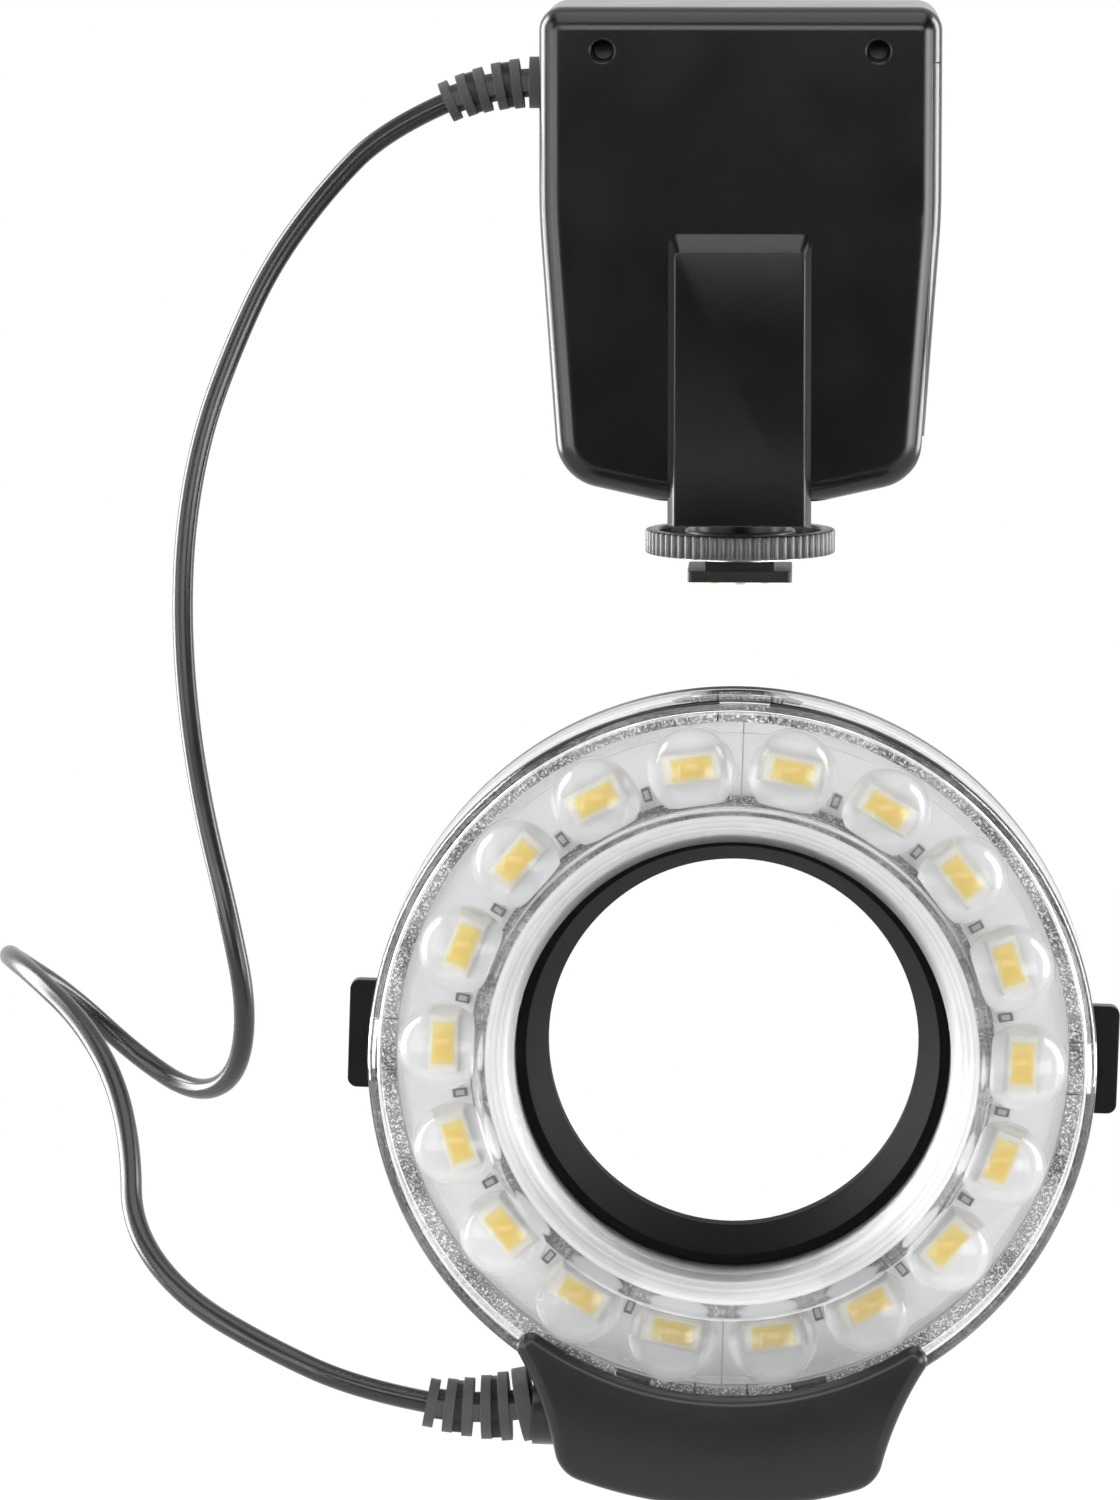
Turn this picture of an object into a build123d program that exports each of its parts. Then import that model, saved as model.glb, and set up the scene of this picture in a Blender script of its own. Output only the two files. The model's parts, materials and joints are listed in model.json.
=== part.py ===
from build123d import *
import math
import os

# A macro ring flash. Lengths are in millimetres. The origin is the centre of the underside of the
# hot-shoe foot, +Z is up, +X is to the right and the light shines towards -Y.

# Values shared by the whole flash
wall = 2.0
overrun = 5.0
near = 0.01
slide_gap = 0.15
turn_gap = 0.06
joint_gap = 0.1
board_thickness = 1.6
post_radius = 2.0

# Controller body
body_width = 71.0
body_ahead = 20.0
body_behind = 27.0
body_top = 102.6
body_bottom = 15.2
taper_start = 66.0
taper_inset = 3.4
corner_height = 19.2
flat_width = 28.0
top_corner_radius = 4.2
taper_radius = 120.0
low_corner_radius = 9.0
keel_radius = 14.0
front_edge_radius = 4.0
back_edge_radius = 5.0
split_y = 2.0

# Screws that hold the two shells together
screw_inset = 11.2
screw_z = 94.9
screw_boss_radius = 3.2
screw_well_radius = 1.9
screw_well_depth = 11.0
screw_well_chamfer = 0.35
screw_radius = 1.0
screw_head_radius = 1.7
screw_head_height = 1.5
screw_bite = 9.0
screw_slot_width = 0.5
screw_slot_length = 2.2
screw_slot_depth = 0.6

# Battery door, on the right side of the body
door_inset = 0.9
door_front_y = -16.6
door_back_y = 22.0
door_bottom = 27.0
door_top = 92.9
door_frame = 2.0
door_travel = 5.0
door_rim = 2.0
ridge_count = 9
ridge_first_z = 31.4
ridge_pitch = 3.9
ridge_radius = 1.15
ridge_sink = 0.95
ridge_front_y = -13.5
ridge_back_y = 15.0

# Lugs that hold the door, as (y, z) of each lug in sizes of the door
lug_height = 3.0
lug_stem = 1.6
lug_head = 3.6
lug_head_thickness = 1.3
top_lug_drop = 2.9
top_lug_spread = 20.0
back_lug_inset = 2.9
back_lug_low = 8.0
back_lug_pitch = 25.0

# Battery bay and cells
cell_radius = 7.1
cell_length = 49.0
nub_radius = 2.6
nub_height = 1.3
cell_pitch = 15.0
cell_gap = 0.4
bay_bottom = 27.7
bay_wall = 1.2
bay_centre_y = -0.5
flange_thickness = 1.5
contact_thickness = 0.5
contact_width = 11.0
spring_height = 2.2
spring_base_radius = 4.0
spring_tip_radius = 2.4

# Rear panel: display, keys and their board
display_width = 40.0
display_height = 22.0
display_z = 80.0
window_thickness = 1.2
window_border = 2.2
key_radius = 4.2
key_proud = 1.1
key_flange = 0.8
key_flange_thickness = 1.4
key_travel = 0.7
key_dish_radius = 14.0
key_dish_depth = 0.35
key_spread = 16.0
upper_key_z = 58.0
lower_key_z = 42.0
switch_size = 6.0
switch_height = 2.0
key_board_width = 52.0
key_board_bottom = 34.0
key_board_top = 91.4
post_inset = 3.0

# Main board and its parts
main_board_side_gap = 3.1
main_board_bay_gap = 2.1
main_board_bottom = 30.0
main_board_top = 82.0
main_board_y = -11.0
capacitor_radius = 4.0
capacitor_length = 12.0
capacitor_pitch = 9.0
coil_radius = 5.5
coil_height = 5.0
coil_hole_radius = 2.4
chip_size = 9.0
chip_height = 1.4
part_margin = 2.5

# Pedestal, which runs down the front and carries the shoe
pedestal_width = 25.4
pedestal_proud = 2.5
pedestal_top = 63.0
pedestal_side_bevel = 1.2
pedestal_top_bevel = 3.0
pedestal_corner = 2.2
pedestal_back_y = 14.0
pedestal_edge = 0.5

# Hot-shoe foot, to the standard of camera accessory shoes
foot_width = 18.6
foot_length = 18.0
foot_thickness = 2.0
neck_width = 12.4
neck_length = 16.0
neck_height = 2.0
stem_radius = 8.0
foot_corner = 0.8
contact_radius = 0.9
contact_centre_radius = 1.2
contact_proud = 0.6
contact_length = 5.0
contact_travel = 0.5
contact_spread = 9.0
contact_rows = 7.6
lock_pin_radius = 1.1
lock_pin_y = 6.2
lock_pin_proud = 1.8
lock_pin_length = 6.6
lock_pin_travel = 2.2

# Lock wheel and the plate that it presses on the shoe's rails
plate_radius = 12.5
plate_thickness = 0.6
wheel_radius = 17.0
wheel_height = 4.2
wheel_rim = 2.5
wheel_web = 1.3
wheel_hub = 1.9
wheel_teeth = 64
wheel_tooth_depth = 0.45
wheel_lift = 1.5
wheel_room = 0.9

# Strain reliefs
relief_disc = 1.75
relief_slot = 1.35
relief_count = 5
relief_bridge = 2.6
relief_bridge_inset = 0.15
relief_core_margin = 0.7
relief_plug_length = 3.2
relief_plug_gap = 0.05
upper_relief_z = 88.5
upper_relief_collar_radius = 4.6
upper_relief_tip_radius = 3.7
upper_relief_collar = 2.3
upper_relief_bend = 24.0
lower_relief_out = 7.57
lower_relief_angle = 27.47
lower_relief_collar_radius = 6.2
lower_relief_tip_radius = 4.1
lower_relief_collar = 2.6
lower_relief_dip = 13.0
lower_relief_bend = -22.0

# Cord
cord_radius = 1.85

# Ring head, drawn in its own frame with the lens axis at x = 0 and z = 0
ring_z = -68.6
ring_roll = 1.8
ring_front_y = -125.0
cover_back_y = -105.6
ring_back_y = -100.6
ring_radius = 60.5
bore_radius = 36.4
cover_wall = 1.8
cover_edge_radius = 2.4
cover_cone_width = 6.0
cover_cone_depth = 6.0

# Snap fingers of the chassis, whose hooks catch in windows of the cover
finger_count = 4
finger_width = 8.4
finger_slit = 0.3
hook_front_y = -112.6
hook_length = 2.0
hook_reach = 1.2

# Lights, their lenses and their boards
led_count = 18
top_angle = 90.0
led_length = 5.7
led_width = 3.0
led_height = 0.8
phosphor_length = 4.3
phosphor_width = 2.3
phosphor_height = 0.12
dome_base_radius = 7.4
dome_radius = 7.45
dome_gap = 0.4
scallop_radius = 7.7
lens_outer_inset = 6.1
lens_inner_inset = 5.8
lens_thickness = 1.2
lens_board_gap = 1.9
board_outer_inset = 4.9
board_inner_inset = 6.4
led_board_seam = 0.5
resistor_length = 2.0
resistor_width = 1.2
resistor_height = 0.6
resistor_inset = 8.5

# Chassis of the ring, with its raised rims
chassis_thickness = 1.2
rim_outer_width = 2.4
rim_drop = 0.8
rib_inner_inset = 7.6
rib_outer_inset = 7.5
rib_width = 1.4
spigot_width = 1.6
wire_slot_width = 6.0
wire_slot_angle = 15.0

# Reflector, a pale cone between the cover's cone and the lens plate
reflector_edge = 1.0
reflector_gap = 0.1
reflector_run = 4.6

# Rear cover of the ring, release sliders and adapter
rear_plate = 1.6
rear_edge_radius = 1.2
slider_band_inset = 5.0
slider_band_width = 3.6
slider_thickness = 1.3
slider_travel = 2.5
catch_reach = 0.7
catch_width = 8.0
tab_height = 18.2
tab_pressed_proud = 1.6
tab_thickness = 3.0
tab_corner = 1.6
slider_arm_width = 13.0
adapter_fit = 0.08
adapter_front_y = -110.0
adapter_wall = 3.4
adapter_groove_depth = 1.3
thread_radius = 33.5
thread_length = 4.0
adapter_bore = 31.2
ring_screw_count = 6
ring_screw_inset = 10.5
ring_screw_start = 30.0

# Lower housing of the ring, which takes the cord
housing_front_y = -127.2
housing_split_y = -113.0
housing_back_y = -101.6
housing_depth = 14.1
housing_lap = 4.9
housing_crown_radius = 60.0
housing_crown_out = 6.0
housing_chin_angle = 20.9
housing_waist_out = 5.73
housing_waist_angle = 26.26
housing_tip_inset = 0.89
housing_tip_angle = 35.72
housing_horn_width = 2.6
housing_tip_radius = 2.2
housing_chin_radius = 6.0
housing_edge_round = 2.0
housing_ring_gap = 0.1
housing_wall = 2.2
housing_room_half = 18.0
housing_room_gap = 3.1
housing_floor = 4.0
gland_radius = 7.0
gland_length = 6.0
driver_board_half = 17.0
connector_width = 8.0
connector_height = 3.6

# Route of the cord between its strain reliefs. Its first and last points are the reliefs' ends.
cord_middle = [
    (-74.5, 1.5, 69.0),
    (-84.0, 0.0, 56.0),
    (-90.5, -2.0, 42.0),
    (-96.0, -5.0, 27.0),
    (-99.0, -8.5, 10.5),
    (-99.5, -12.5, -6.5),
    (-98.0, -17.0, -24.0),
    (-94.8, -22.5, -41.0),
    (-90.2, -27.0, -58.0),
    (-87.0, -26.5, -75.0),
    (-89.6, -18.0, -88.5),
    (-98.0, -5.3, -93.5),
    (-109.4, 4.6, -88.0),
    (-121.4, 4.4, -76.8),
    (-130.5, -6.8, -68.5),
    (-130.0, -23.7, -65.3),
    (-123.5, -39.8, -67.0),
    (-114.2, -52.5, -73.0),
    (-107.5, -63.3, -81.5),
    (-104.0, -74.0, -92.0),
    (-103.0, -86.0, -103.5),
    (-93.5, -99.0, -113.0),
    (-78.0, -108.5, -120.0),
]
cord_end_run = 12.0
cord_arc_share = 0.45

# Sizes of the controller that follow from the ones above
corner_width = body_width - 2 * taper_inset
screw_x = body_width / 2 - screw_inset
screw_seat_y = screw_well_depth - body_ahead
door_plane = corner_width / 2 - door_inset
clamp_low_z = foot_thickness + neck_height
wheel_low_z = clamp_low_z + plate_thickness
pedestal_bottom = wheel_low_z + wheel_height + wheel_lift + wheel_room
key_board_y = body_behind - wall - key_flange_thickness - key_travel - switch_height - 2 * joint_gap
key_board_front_y = key_board_y - board_thickness
bay_height = 2 * contact_thickness + spring_height + cell_length + nub_height
bay_depth = 2 * cell_pitch
bay_inner_x = door_plane - bay_depth - cell_gap
bay_top = bay_bottom + bay_height
main_board_left = body_width / 2 - wall - main_board_side_gap
main_board_right = bay_wall - bay_inner_x + main_board_bay_gap

# Sizes of the ring that follow from the ones above
floor_front_y = cover_back_y - chassis_thickness
floor_inner = bore_radius + cover_wall + joint_gap
rim_outer = ring_radius - cover_wall - joint_gap
led_circle_radius = (ring_radius + bore_radius) / 2
resistor_circle_radius = bore_radius + resistor_inset
dome_sink = math.sqrt(dome_radius**2 - dome_base_radius**2)
lens_front_y = ring_front_y + cover_wall + dome_gap + dome_radius - dome_sink
lens_back_y = lens_front_y + lens_thickness
lens_outer = ring_radius - lens_outer_inset
lens_inner = bore_radius + lens_inner_inset
led_board_front_y = lens_back_y + lens_board_gap
led_board_outer = ring_radius - board_outer_inset
led_board_inner = bore_radius + board_inner_inset
rim_front_y = lens_front_y + rim_drop
slider_band_inner = bore_radius + slider_band_inset
slider_band_outer = slider_band_inner + slider_band_width
catch_tip = bore_radius - catch_reach
ring_screw_circle_radius = ring_radius - ring_screw_inset
housing_radius = ring_radius + housing_depth
housing_mouth = ring_radius - housing_lap
housing_room_top = -ring_radius - housing_room_gap
housing_room_bottom = housing_floor - housing_radius


def front_plane(y):
    """Plane whose x is the flash's X, whose y is the flash's Z and which faces the viewer."""
    return Plane(origin=(0, y, 0), x_dir=(1, 0, 0), z_dir=(0, -1, 0))


def slab(sketch, front, back):
    """Extrudes a sketch drawn in X and Z from y = back to y = front."""
    return extrude(front_plane(back) * sketch, amount=back - front)


def block(x_low, x_high, y_low, y_high, z_low, z_high):
    """A box between two corners."""
    size = (x_high - x_low, y_high - y_low, z_high - z_low)
    centre = ((x_low + x_high) / 2, (y_low + y_high) / 2, (z_low + z_high) / 2)
    return Pos(*centre) * Box(*size)


def rod(radius, front, back, x=0, z=0):
    """A cylinder along Y."""
    return slab(Pos(x, z) * Circle(radius), front, back)


def turned(profile):
    """Revolves a closed outline of (radius, y) points about the lens axis."""
    points = [(radius, y, 0) for radius, y in profile]
    face = make_face(Polyline(*points, close=True))
    return revolve(face, Axis.Y)


def in_place(shape):
    """Moves a piece of the ring head from the ring's frame to its place under the controller."""
    return Location((0, 0, ring_z), (0, ring_roll, 0)) * shape


def below_ring(out, angle):
    """The point (x, z) at a distance outside the ring, its angle in degrees from straight below."""
    radius = ring_radius + out
    return radius * math.sin(math.radians(angle)), -radius * math.cos(math.radians(angle))


def corner_vertices(sketch, x, z):
    """The vertices of a symmetric sketch at (x, z) and (-x, z)."""
    return [v for v in sketch.vertices() if abs(abs(v.X) - x) < near and abs(v.Y - z) < near]


def circle_edges(solid, radius, y):
    """The round edges about the lens axis that have this radius and lie at this y."""
    rounds = solid.edges().filter_by(GeomType.CIRCLE)
    return [e for e in rounds if abs(e.radius - radius) < near and abs(e.center().Y - y) < near]


def body_outline():
    """The controller seen from the front: straight above, tapered below, with a shallow keel."""
    right = [
        (body_width / 2, body_top),
        (body_width / 2, taper_start),
        (corner_width / 2, corner_height),
        (flat_width / 2, body_bottom),
    ]
    left = [(-x, z) for x, z in reversed(right)]
    sketch = make_face(Polyline(*right, *left, close=True))
    rounds = zip(right, (top_corner_radius, taper_radius, low_corner_radius, keel_radius))
    for (x, z), radius in rounds:
        sketch = fillet(corner_vertices(sketch, x, z), radius)
    return sketch


def side_x(z):
    """Half width of the tapered part of the body at height z."""
    slope = (body_width - corner_width) / 2 / (taper_start - corner_height)
    return body_width / 2 - (taper_start - z) * slope if z < taper_start else body_width / 2


def body_solid():
    """The whole outer form of the controller, with its soft front and back edges."""
    solid = slab(body_outline(), -body_ahead, body_behind)
    solid = fillet(solid.edges().group_by(Axis.Y)[0], front_edge_radius)
    return fillet(solid.edges().group_by(Axis.Y)[-1], back_edge_radius)


def body_cavity():
    """The room inside the shells."""
    return slab(offset(body_outline(), amount=-wall), wall - body_ahead, body_behind - wall)


def door_prism(low, high, grow):
    """The space of the battery door, from its flat back outwards, grown by a margin."""
    reach = body_width
    front = door_front_y - grow * math.sqrt(2)
    back = door_back_y + grow
    plan = [
        (door_plane, front),
        (door_plane + reach, front - reach),
        (door_plane + reach, back),
        (door_plane, back),
    ]
    return extrude(Pos(0, 0, low) * make_face(Polyline(*plan, close=True)), amount=high - low)


def door_lugs():
    """Middle of each door lug as (y, z)."""
    top_z = door_top - top_lug_drop
    back_y = door_back_y - back_lug_inset
    low_z = door_bottom + back_lug_low
    return [
        (bay_centre_y - top_lug_spread / 2, top_z),
        (bay_centre_y + top_lug_spread / 2, top_z),
        (back_y, low_z),
        (back_y, low_z + back_lug_pitch),
    ]


def key_places():
    """Name and middle of each key on the rear panel, as (name, x, z)."""
    return [
        ("minus_button", key_spread, upper_key_z),
        ("mode_button", 0, upper_key_z),
        ("plus_button", -key_spread, upper_key_z),
        ("power_button", key_spread, lower_key_z),
        ("test_button", -key_spread, lower_key_z),
    ]


def board_corners(left, right, bottom, top):
    """Places of the four posts of a board."""
    return [
        (x, z)
        for x in (left + post_inset, right - post_inset)
        for z in (bottom + post_inset, top - post_inset)
    ]


def main_board_posts():
    return board_corners(-main_board_left, -main_board_right, main_board_bottom, main_board_top)


def key_board_posts():
    half = key_board_width / 2
    return board_corners(-half, half, key_board_bottom, key_board_top)


def relief_opening():
    """The round hole that the upper strain relief's neck passes through."""
    neck = cord_radius + relief_core_margin + relief_plug_gap
    hole = Plane(origin=(0, split_y, upper_relief_z), z_dir=(-1, 0, 0)) * Circle(neck)
    return extrude(hole, amount=body_width)


def shells():
    """Front and rear shell of the controller."""
    body = body_solid()
    hollow = body - body_cavity()
    frame = body & door_prism(body_bottom - overrun, door_top + door_frame, door_frame)
    hollow += frame
    hollow -= door_prism(body_bottom - overrun, door_top, 0)
    hollow -= holder_flange()
    hollow -= relief_opening()
    far = body_width + body_top
    front = hollow & block(-far, far, -far, split_y, -far, far)
    rear = hollow & block(-far, far, split_y, far, -far, far)
    return front_shell(front), rear_shell(rear)


def front_shell(shell):
    """Adds the screw wells, the posts of the main board and the pedestal's screw holes."""
    inside = wall - body_ahead
    for x in (-screw_x, screw_x):
        shell += rod(screw_boss_radius, inside, split_y, x, screw_z)
        shell -= rod(screw_well_radius, -body_ahead - overrun, screw_seat_y, x, screw_z)
        shell -= rod(screw_radius + turn_gap, screw_seat_y, split_y + overrun, x, screw_z)
        rim = screw_well_radius + screw_well_chamfer
        cone = Cone(screw_well_radius, rim, screw_well_chamfer)
        place = Location((x, screw_well_chamfer / 2 - body_ahead, screw_z), (90, 0, 0))
        shell -= place * cone
    for x, z in main_board_posts():
        shell += rod(post_radius, inside, main_board_y - board_thickness, x, z)
    return shell


def rear_shell(shell):
    """Adds the screw bosses, the display's window and the holes and posts of the keys."""
    inside = body_behind - wall
    for x in (-screw_x, screw_x):
        shell += rod(screw_boss_radius, split_y, inside, x, screw_z)
        shell -= rod(screw_radius, split_y - overrun, split_y + screw_bite, x, screw_z)
    window = Pos(0, display_z) * RectangleRounded(display_width, display_height, window_border)
    sight_width = display_width - 2 * window_border
    sight_height = display_height - 2 * window_border
    sight = Pos(0, display_z) * RectangleRounded(sight_width, sight_height, window_border / 2)
    shell -= slab(window, body_behind - window_thickness, body_behind + overrun)
    shell -= slab(sight, inside - overrun, body_behind)
    for name, x, z in key_places():
        shell -= rod(key_radius + slide_gap, inside - overrun, body_behind + overrun, x, z)
    for x, z in key_board_posts():
        shell += rod(post_radius, key_board_y, inside, x, z)
    return shell


def case_screws():
    """Two screws from the front, deep in their wells."""
    screws = []
    for x in (-screw_x, screw_x):
        head_front = screw_seat_y - screw_head_height
        head = rod(screw_head_radius, head_front, screw_seat_y, x, screw_z)
        shank = rod(screw_radius, screw_seat_y, split_y + screw_bite - joint_gap, x, screw_z)
        slot = slab(Pos(x, screw_z) * cross_slot(), head_front - overrun, head_front + screw_slot_depth)
        screws.append(head + shank - slot)
    return screws


def cross_slot():
    """The crossed slot in a screw's head."""
    bar = Rectangle(screw_slot_length, screw_slot_width)
    return bar + Rot(0, 0, 90) * bar


def battery_door(body):
    """The sliding door: the body's own skin, hollow behind, with grip ridges and four lugs."""
    door = body & door_prism(door_bottom, door_top - joint_gap, -joint_gap)
    door -= block(0, door_plane + joint_gap, -body_width, body_width, 0, 2 * body_top)
    room = body_cavity() & block(
        door_plane,
        body_width,
        door_front_y + door_rim,
        door_back_y - door_rim,
        door_bottom + door_rim,
        door_top - door_rim,
    )
    door -= room
    for index in range(ridge_count):
        z = ridge_first_z + index * ridge_pitch
        x = side_x(z) + ridge_radius - ridge_sink
        door -= slab(Pos(x, z) * Circle(ridge_radius), ridge_front_y, ridge_back_y)
    back = door_plane + joint_gap
    head_front = door_plane - flange_thickness - joint_gap
    for y, z in door_lugs():
        low, high = z - lug_height / 2, z + lug_height / 2
        stem_y, head_y = lug_stem / 2, lug_head / 2
        post_end = side_x(z) - wall
        door += block(head_front, post_end + wall / 2, y - stem_y, y + stem_y, low, high)
        door += block(head_front - lug_head_thickness, head_front, y - head_y, y + head_y, low, high)
    return door


def holder_flange():
    """The flange of the battery bay, let into the side of the shells."""
    return block(
        door_plane - flange_thickness,
        door_plane,
        wall - body_ahead,
        door_back_y + door_frame,
        door_bottom - door_frame,
        door_top + door_frame,
    )


def battery_holder():
    """The battery bay: a tray open to the side, with the flange that the door slides on."""
    front = bay_centre_y - bay_depth / 2
    back = bay_centre_y + bay_depth / 2
    outer = block(
        bay_inner_x - bay_wall,
        door_plane,
        front - bay_wall,
        back + bay_wall,
        bay_bottom - bay_wall,
        bay_top + bay_wall,
    )
    holder = outer + holder_flange()
    holder -= block(bay_inner_x, door_plane + overrun, front, back, bay_bottom, bay_top)
    for y, z in door_lugs():
        half = lug_height / 2 + slide_gap
        stem_y = lug_stem / 2 + slide_gap
        head_y = lug_head / 2 + slide_gap
        x_low, x_high = door_plane - flange_thickness - near, door_plane + overrun
        low = z - door_travel
        holder -= block(x_low, x_high, y - stem_y, y + stem_y, low - half, z + half)
        holder -= block(x_low, x_high, y - head_y, y + head_y, low - half, low + half)
    return holder


def cell_places():
    """Middle and direction of each cell, as (x, y, up)."""
    first_x = bay_inner_x + cell_pitch / 2
    first_y = bay_centre_y - cell_pitch / 2
    return [
        (first_x + column * cell_pitch, first_y + row * cell_pitch, (column + row) % 2 == 0)
        for column in (0, 1)
        for row in (0, 1)
    ]


def battery_cells():
    """Four AA cells, turned about in pairs."""
    cells = []
    for x, y, up in cell_places():
        can = Cylinder(cell_radius, cell_length)
        nub = Pos(0, 0, (cell_length + nub_height) / 2) * Cylinder(nub_radius, nub_height)
        cell = can + nub
        if not up:
            cell = Rot(180, 0, 0) * cell
        low = contact_thickness + (spring_height if up else nub_height)
        cells.append(Pos(x, y, bay_bottom + low + cell_length / 2) * cell)
    return cells


def battery_contacts():
    """A plate at each end of each cell, with a spring against the flat ends."""
    plates = []
    size = (contact_width, contact_width, contact_thickness)
    for x, y, up in cell_places():
        low = Pos(x, y, bay_bottom + contact_thickness / 2) * Box(*size)
        high = Pos(x, y, bay_top - contact_thickness / 2) * Box(*size)
        if up:
            cone = Cone(spring_base_radius, spring_tip_radius, spring_height)
            low += Pos(x, y, bay_bottom + contact_thickness + spring_height / 2) * cone
        else:
            cone = Cone(spring_tip_radius, spring_base_radius, spring_height)
            high += Pos(x, y, bay_top - contact_thickness - spring_height / 2) * cone
        plates += [low, high]
    return plates


def main_board():
    width = main_board_left - main_board_right
    height = main_board_top - main_board_bottom
    middle_x = -(main_board_left + main_board_right) / 2
    middle_z = (main_board_bottom + main_board_top) / 2
    sketch = Pos(middle_x, middle_z) * RectangleRounded(width, height, post_radius / 2)
    return slab(sketch, main_board_y - board_thickness, main_board_y)


def capacitors():
    """Two electrolytic capacitors that stand on the main board."""
    x = part_margin + capacitor_radius - main_board_left
    z = main_board_top - 2 * post_inset - part_margin - capacitor_radius
    back = main_board_y + capacitor_length
    return [
        rod(capacitor_radius, main_board_y, back, x, z),
        rod(capacitor_radius, main_board_y, back, x + capacitor_pitch, z),
    ]


def power_coil():
    """The wound core of the light's power supply."""
    x = -(main_board_left + main_board_right) / 2
    z = (main_board_bottom + main_board_top) / 2
    ring = Pos(x, z) * (Circle(coil_radius) - Circle(coil_hole_radius))
    return slab(ring, main_board_y, main_board_y + coil_height)


def control_chip():
    x = -(main_board_left + main_board_right) / 2
    z = main_board_bottom + 2 * post_inset + chip_size
    chip = Pos(x, z) * Rectangle(chip_size, chip_size)
    return slab(chip, main_board_y, main_board_y + chip_height)


def key_board():
    width = key_board_width
    height = key_board_top - key_board_bottom
    middle = (key_board_bottom + key_board_top) / 2
    sketch = Pos(0, middle) * RectangleRounded(width, height, post_radius / 2)
    return slab(sketch, key_board_front_y, key_board_y)


def key_switches():
    """A small push switch under each key."""
    pads = []
    for name, x, z in key_places():
        square = Pos(x, z) * Rectangle(switch_size, switch_size)
        pads.append(slab(square, key_board_y, key_board_y + switch_height))
    return pads


def key_cap(x, z):
    """A round key with a dished top and a flange behind the panel."""
    inside = body_behind - wall
    top = body_behind + key_proud
    flange_back = inside - joint_gap
    cap = rod(key_radius, flange_back - near, top, x, z)
    cap += rod(key_radius + key_flange, flange_back - key_flange_thickness, flange_back, x, z)
    ball = Pos(x, top + key_dish_radius - key_dish_depth, z) * Sphere(key_dish_radius)
    return cap - ball


def display_module():
    """The display's glass and frame, between its board and the panel."""
    sketch = Pos(0, display_z) * RectangleRounded(display_width, display_height, window_border / 2)
    return slab(sketch, key_board_y, body_behind - wall)


def display_window():
    width = display_width - 2 * joint_gap
    height = display_height - 2 * joint_gap
    sketch = Pos(0, display_z) * RectangleRounded(width, height, window_border)
    return slab(sketch, body_behind - window_thickness, body_behind)


def pedestal():
    """The raised block on the front, which runs down under the body and carries the foot."""
    height = pedestal_top - pedestal_bottom + pedestal_corner
    middle = (pedestal_top + pedestal_bottom - pedestal_corner) / 2
    outer = Pos(0, middle) * RectangleRounded(pedestal_width, height, pedestal_corner)
    face_width = pedestal_width - 2 * pedestal_side_bevel
    face_height = height - pedestal_top_bevel
    face_middle = middle - pedestal_top_bevel / 2
    inner_corner = pedestal_corner - pedestal_edge
    inner = Pos(0, face_middle) * RectangleRounded(face_width, face_height, inner_corner)
    base = front_plane(-body_ahead) * outer
    face = front_plane(-body_ahead - pedestal_proud) * inner
    solid = loft([base.faces()[0], face.faces()[0]])
    floor = pedestal_width + pedestal_top
    solid -= block(-floor, floor, -floor, floor, pedestal_bottom - floor, pedestal_bottom)
    half = pedestal_width / 2
    foot_block = block(-half, half, -body_ahead, pedestal_back_y, pedestal_bottom, body_bottom)
    corners = foot_block.edges().filter_by(Axis.Z).group_by(Axis.Y)[-1]
    return solid + fillet(corners, pedestal_corner)


def contact_places():
    """Place and radius of each contact in the foot."""
    half, row = contact_spread / 2, contact_rows / 2
    corners = [(x, y, contact_radius) for x in (-half, half) for y in (-row, 0)]
    return [(0, 0, contact_centre_radius)] + corners


def shoe_foot():
    """The sliding foot, its neck between the rails and the stem that the wheel turns on."""
    plate = block(-foot_width / 2, foot_width / 2, -foot_length / 2, foot_length / 2, 0, foot_thickness)
    plate = fillet(plate.edges().filter_by(Axis.Z), foot_corner)
    neck = block(-neck_width / 2, neck_width / 2, -neck_length / 2, neck_length / 2, 0, clamp_low_z)
    stem_height = pedestal_bottom - clamp_low_z
    stem = Pos(0, 0, clamp_low_z + stem_height / 2) * Cylinder(stem_radius, stem_height)
    foot = plate + neck + stem
    depth = contact_length + contact_travel + joint_gap - contact_proud
    for x, y, radius in contact_places():
        foot -= Pos(x, y, depth / 2) * Cylinder(radius + turn_gap, depth)
    bore = lock_pin_length - lock_pin_proud + lock_pin_travel + joint_gap
    return foot - Pos(0, lock_pin_y, bore / 2) * Cylinder(lock_pin_radius + turn_gap, bore)


def contact_pins():
    """Five sprung contacts with rounded tips."""
    pins = []
    for x, y, radius in contact_places():
        pin = Cylinder(radius, contact_length)
        tip = pin.edges().filter_by(GeomType.CIRCLE).group_by(Axis.Z)[0]
        pin = fillet(tip, contact_proud / 2)
        pins.append(Pos(x, y, contact_length / 2 - contact_proud) * pin)
    return pins


def lock_pin():
    pin = Cylinder(lock_pin_radius, lock_pin_length)
    tip = pin.edges().filter_by(GeomType.CIRCLE).group_by(Axis.Z)[0]
    pin = chamfer(tip, lock_pin_radius / 3)
    return Pos(0, lock_pin_y, lock_pin_length / 2 - lock_pin_proud) * pin


def clamp_plate():
    """The thin round plate between the wheel and the shoe's rails."""
    ring = Circle(plate_radius) - Circle(stem_radius + turn_gap)
    return extrude(Pos(0, 0, clamp_low_z) * ring, amount=plate_thickness)


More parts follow.
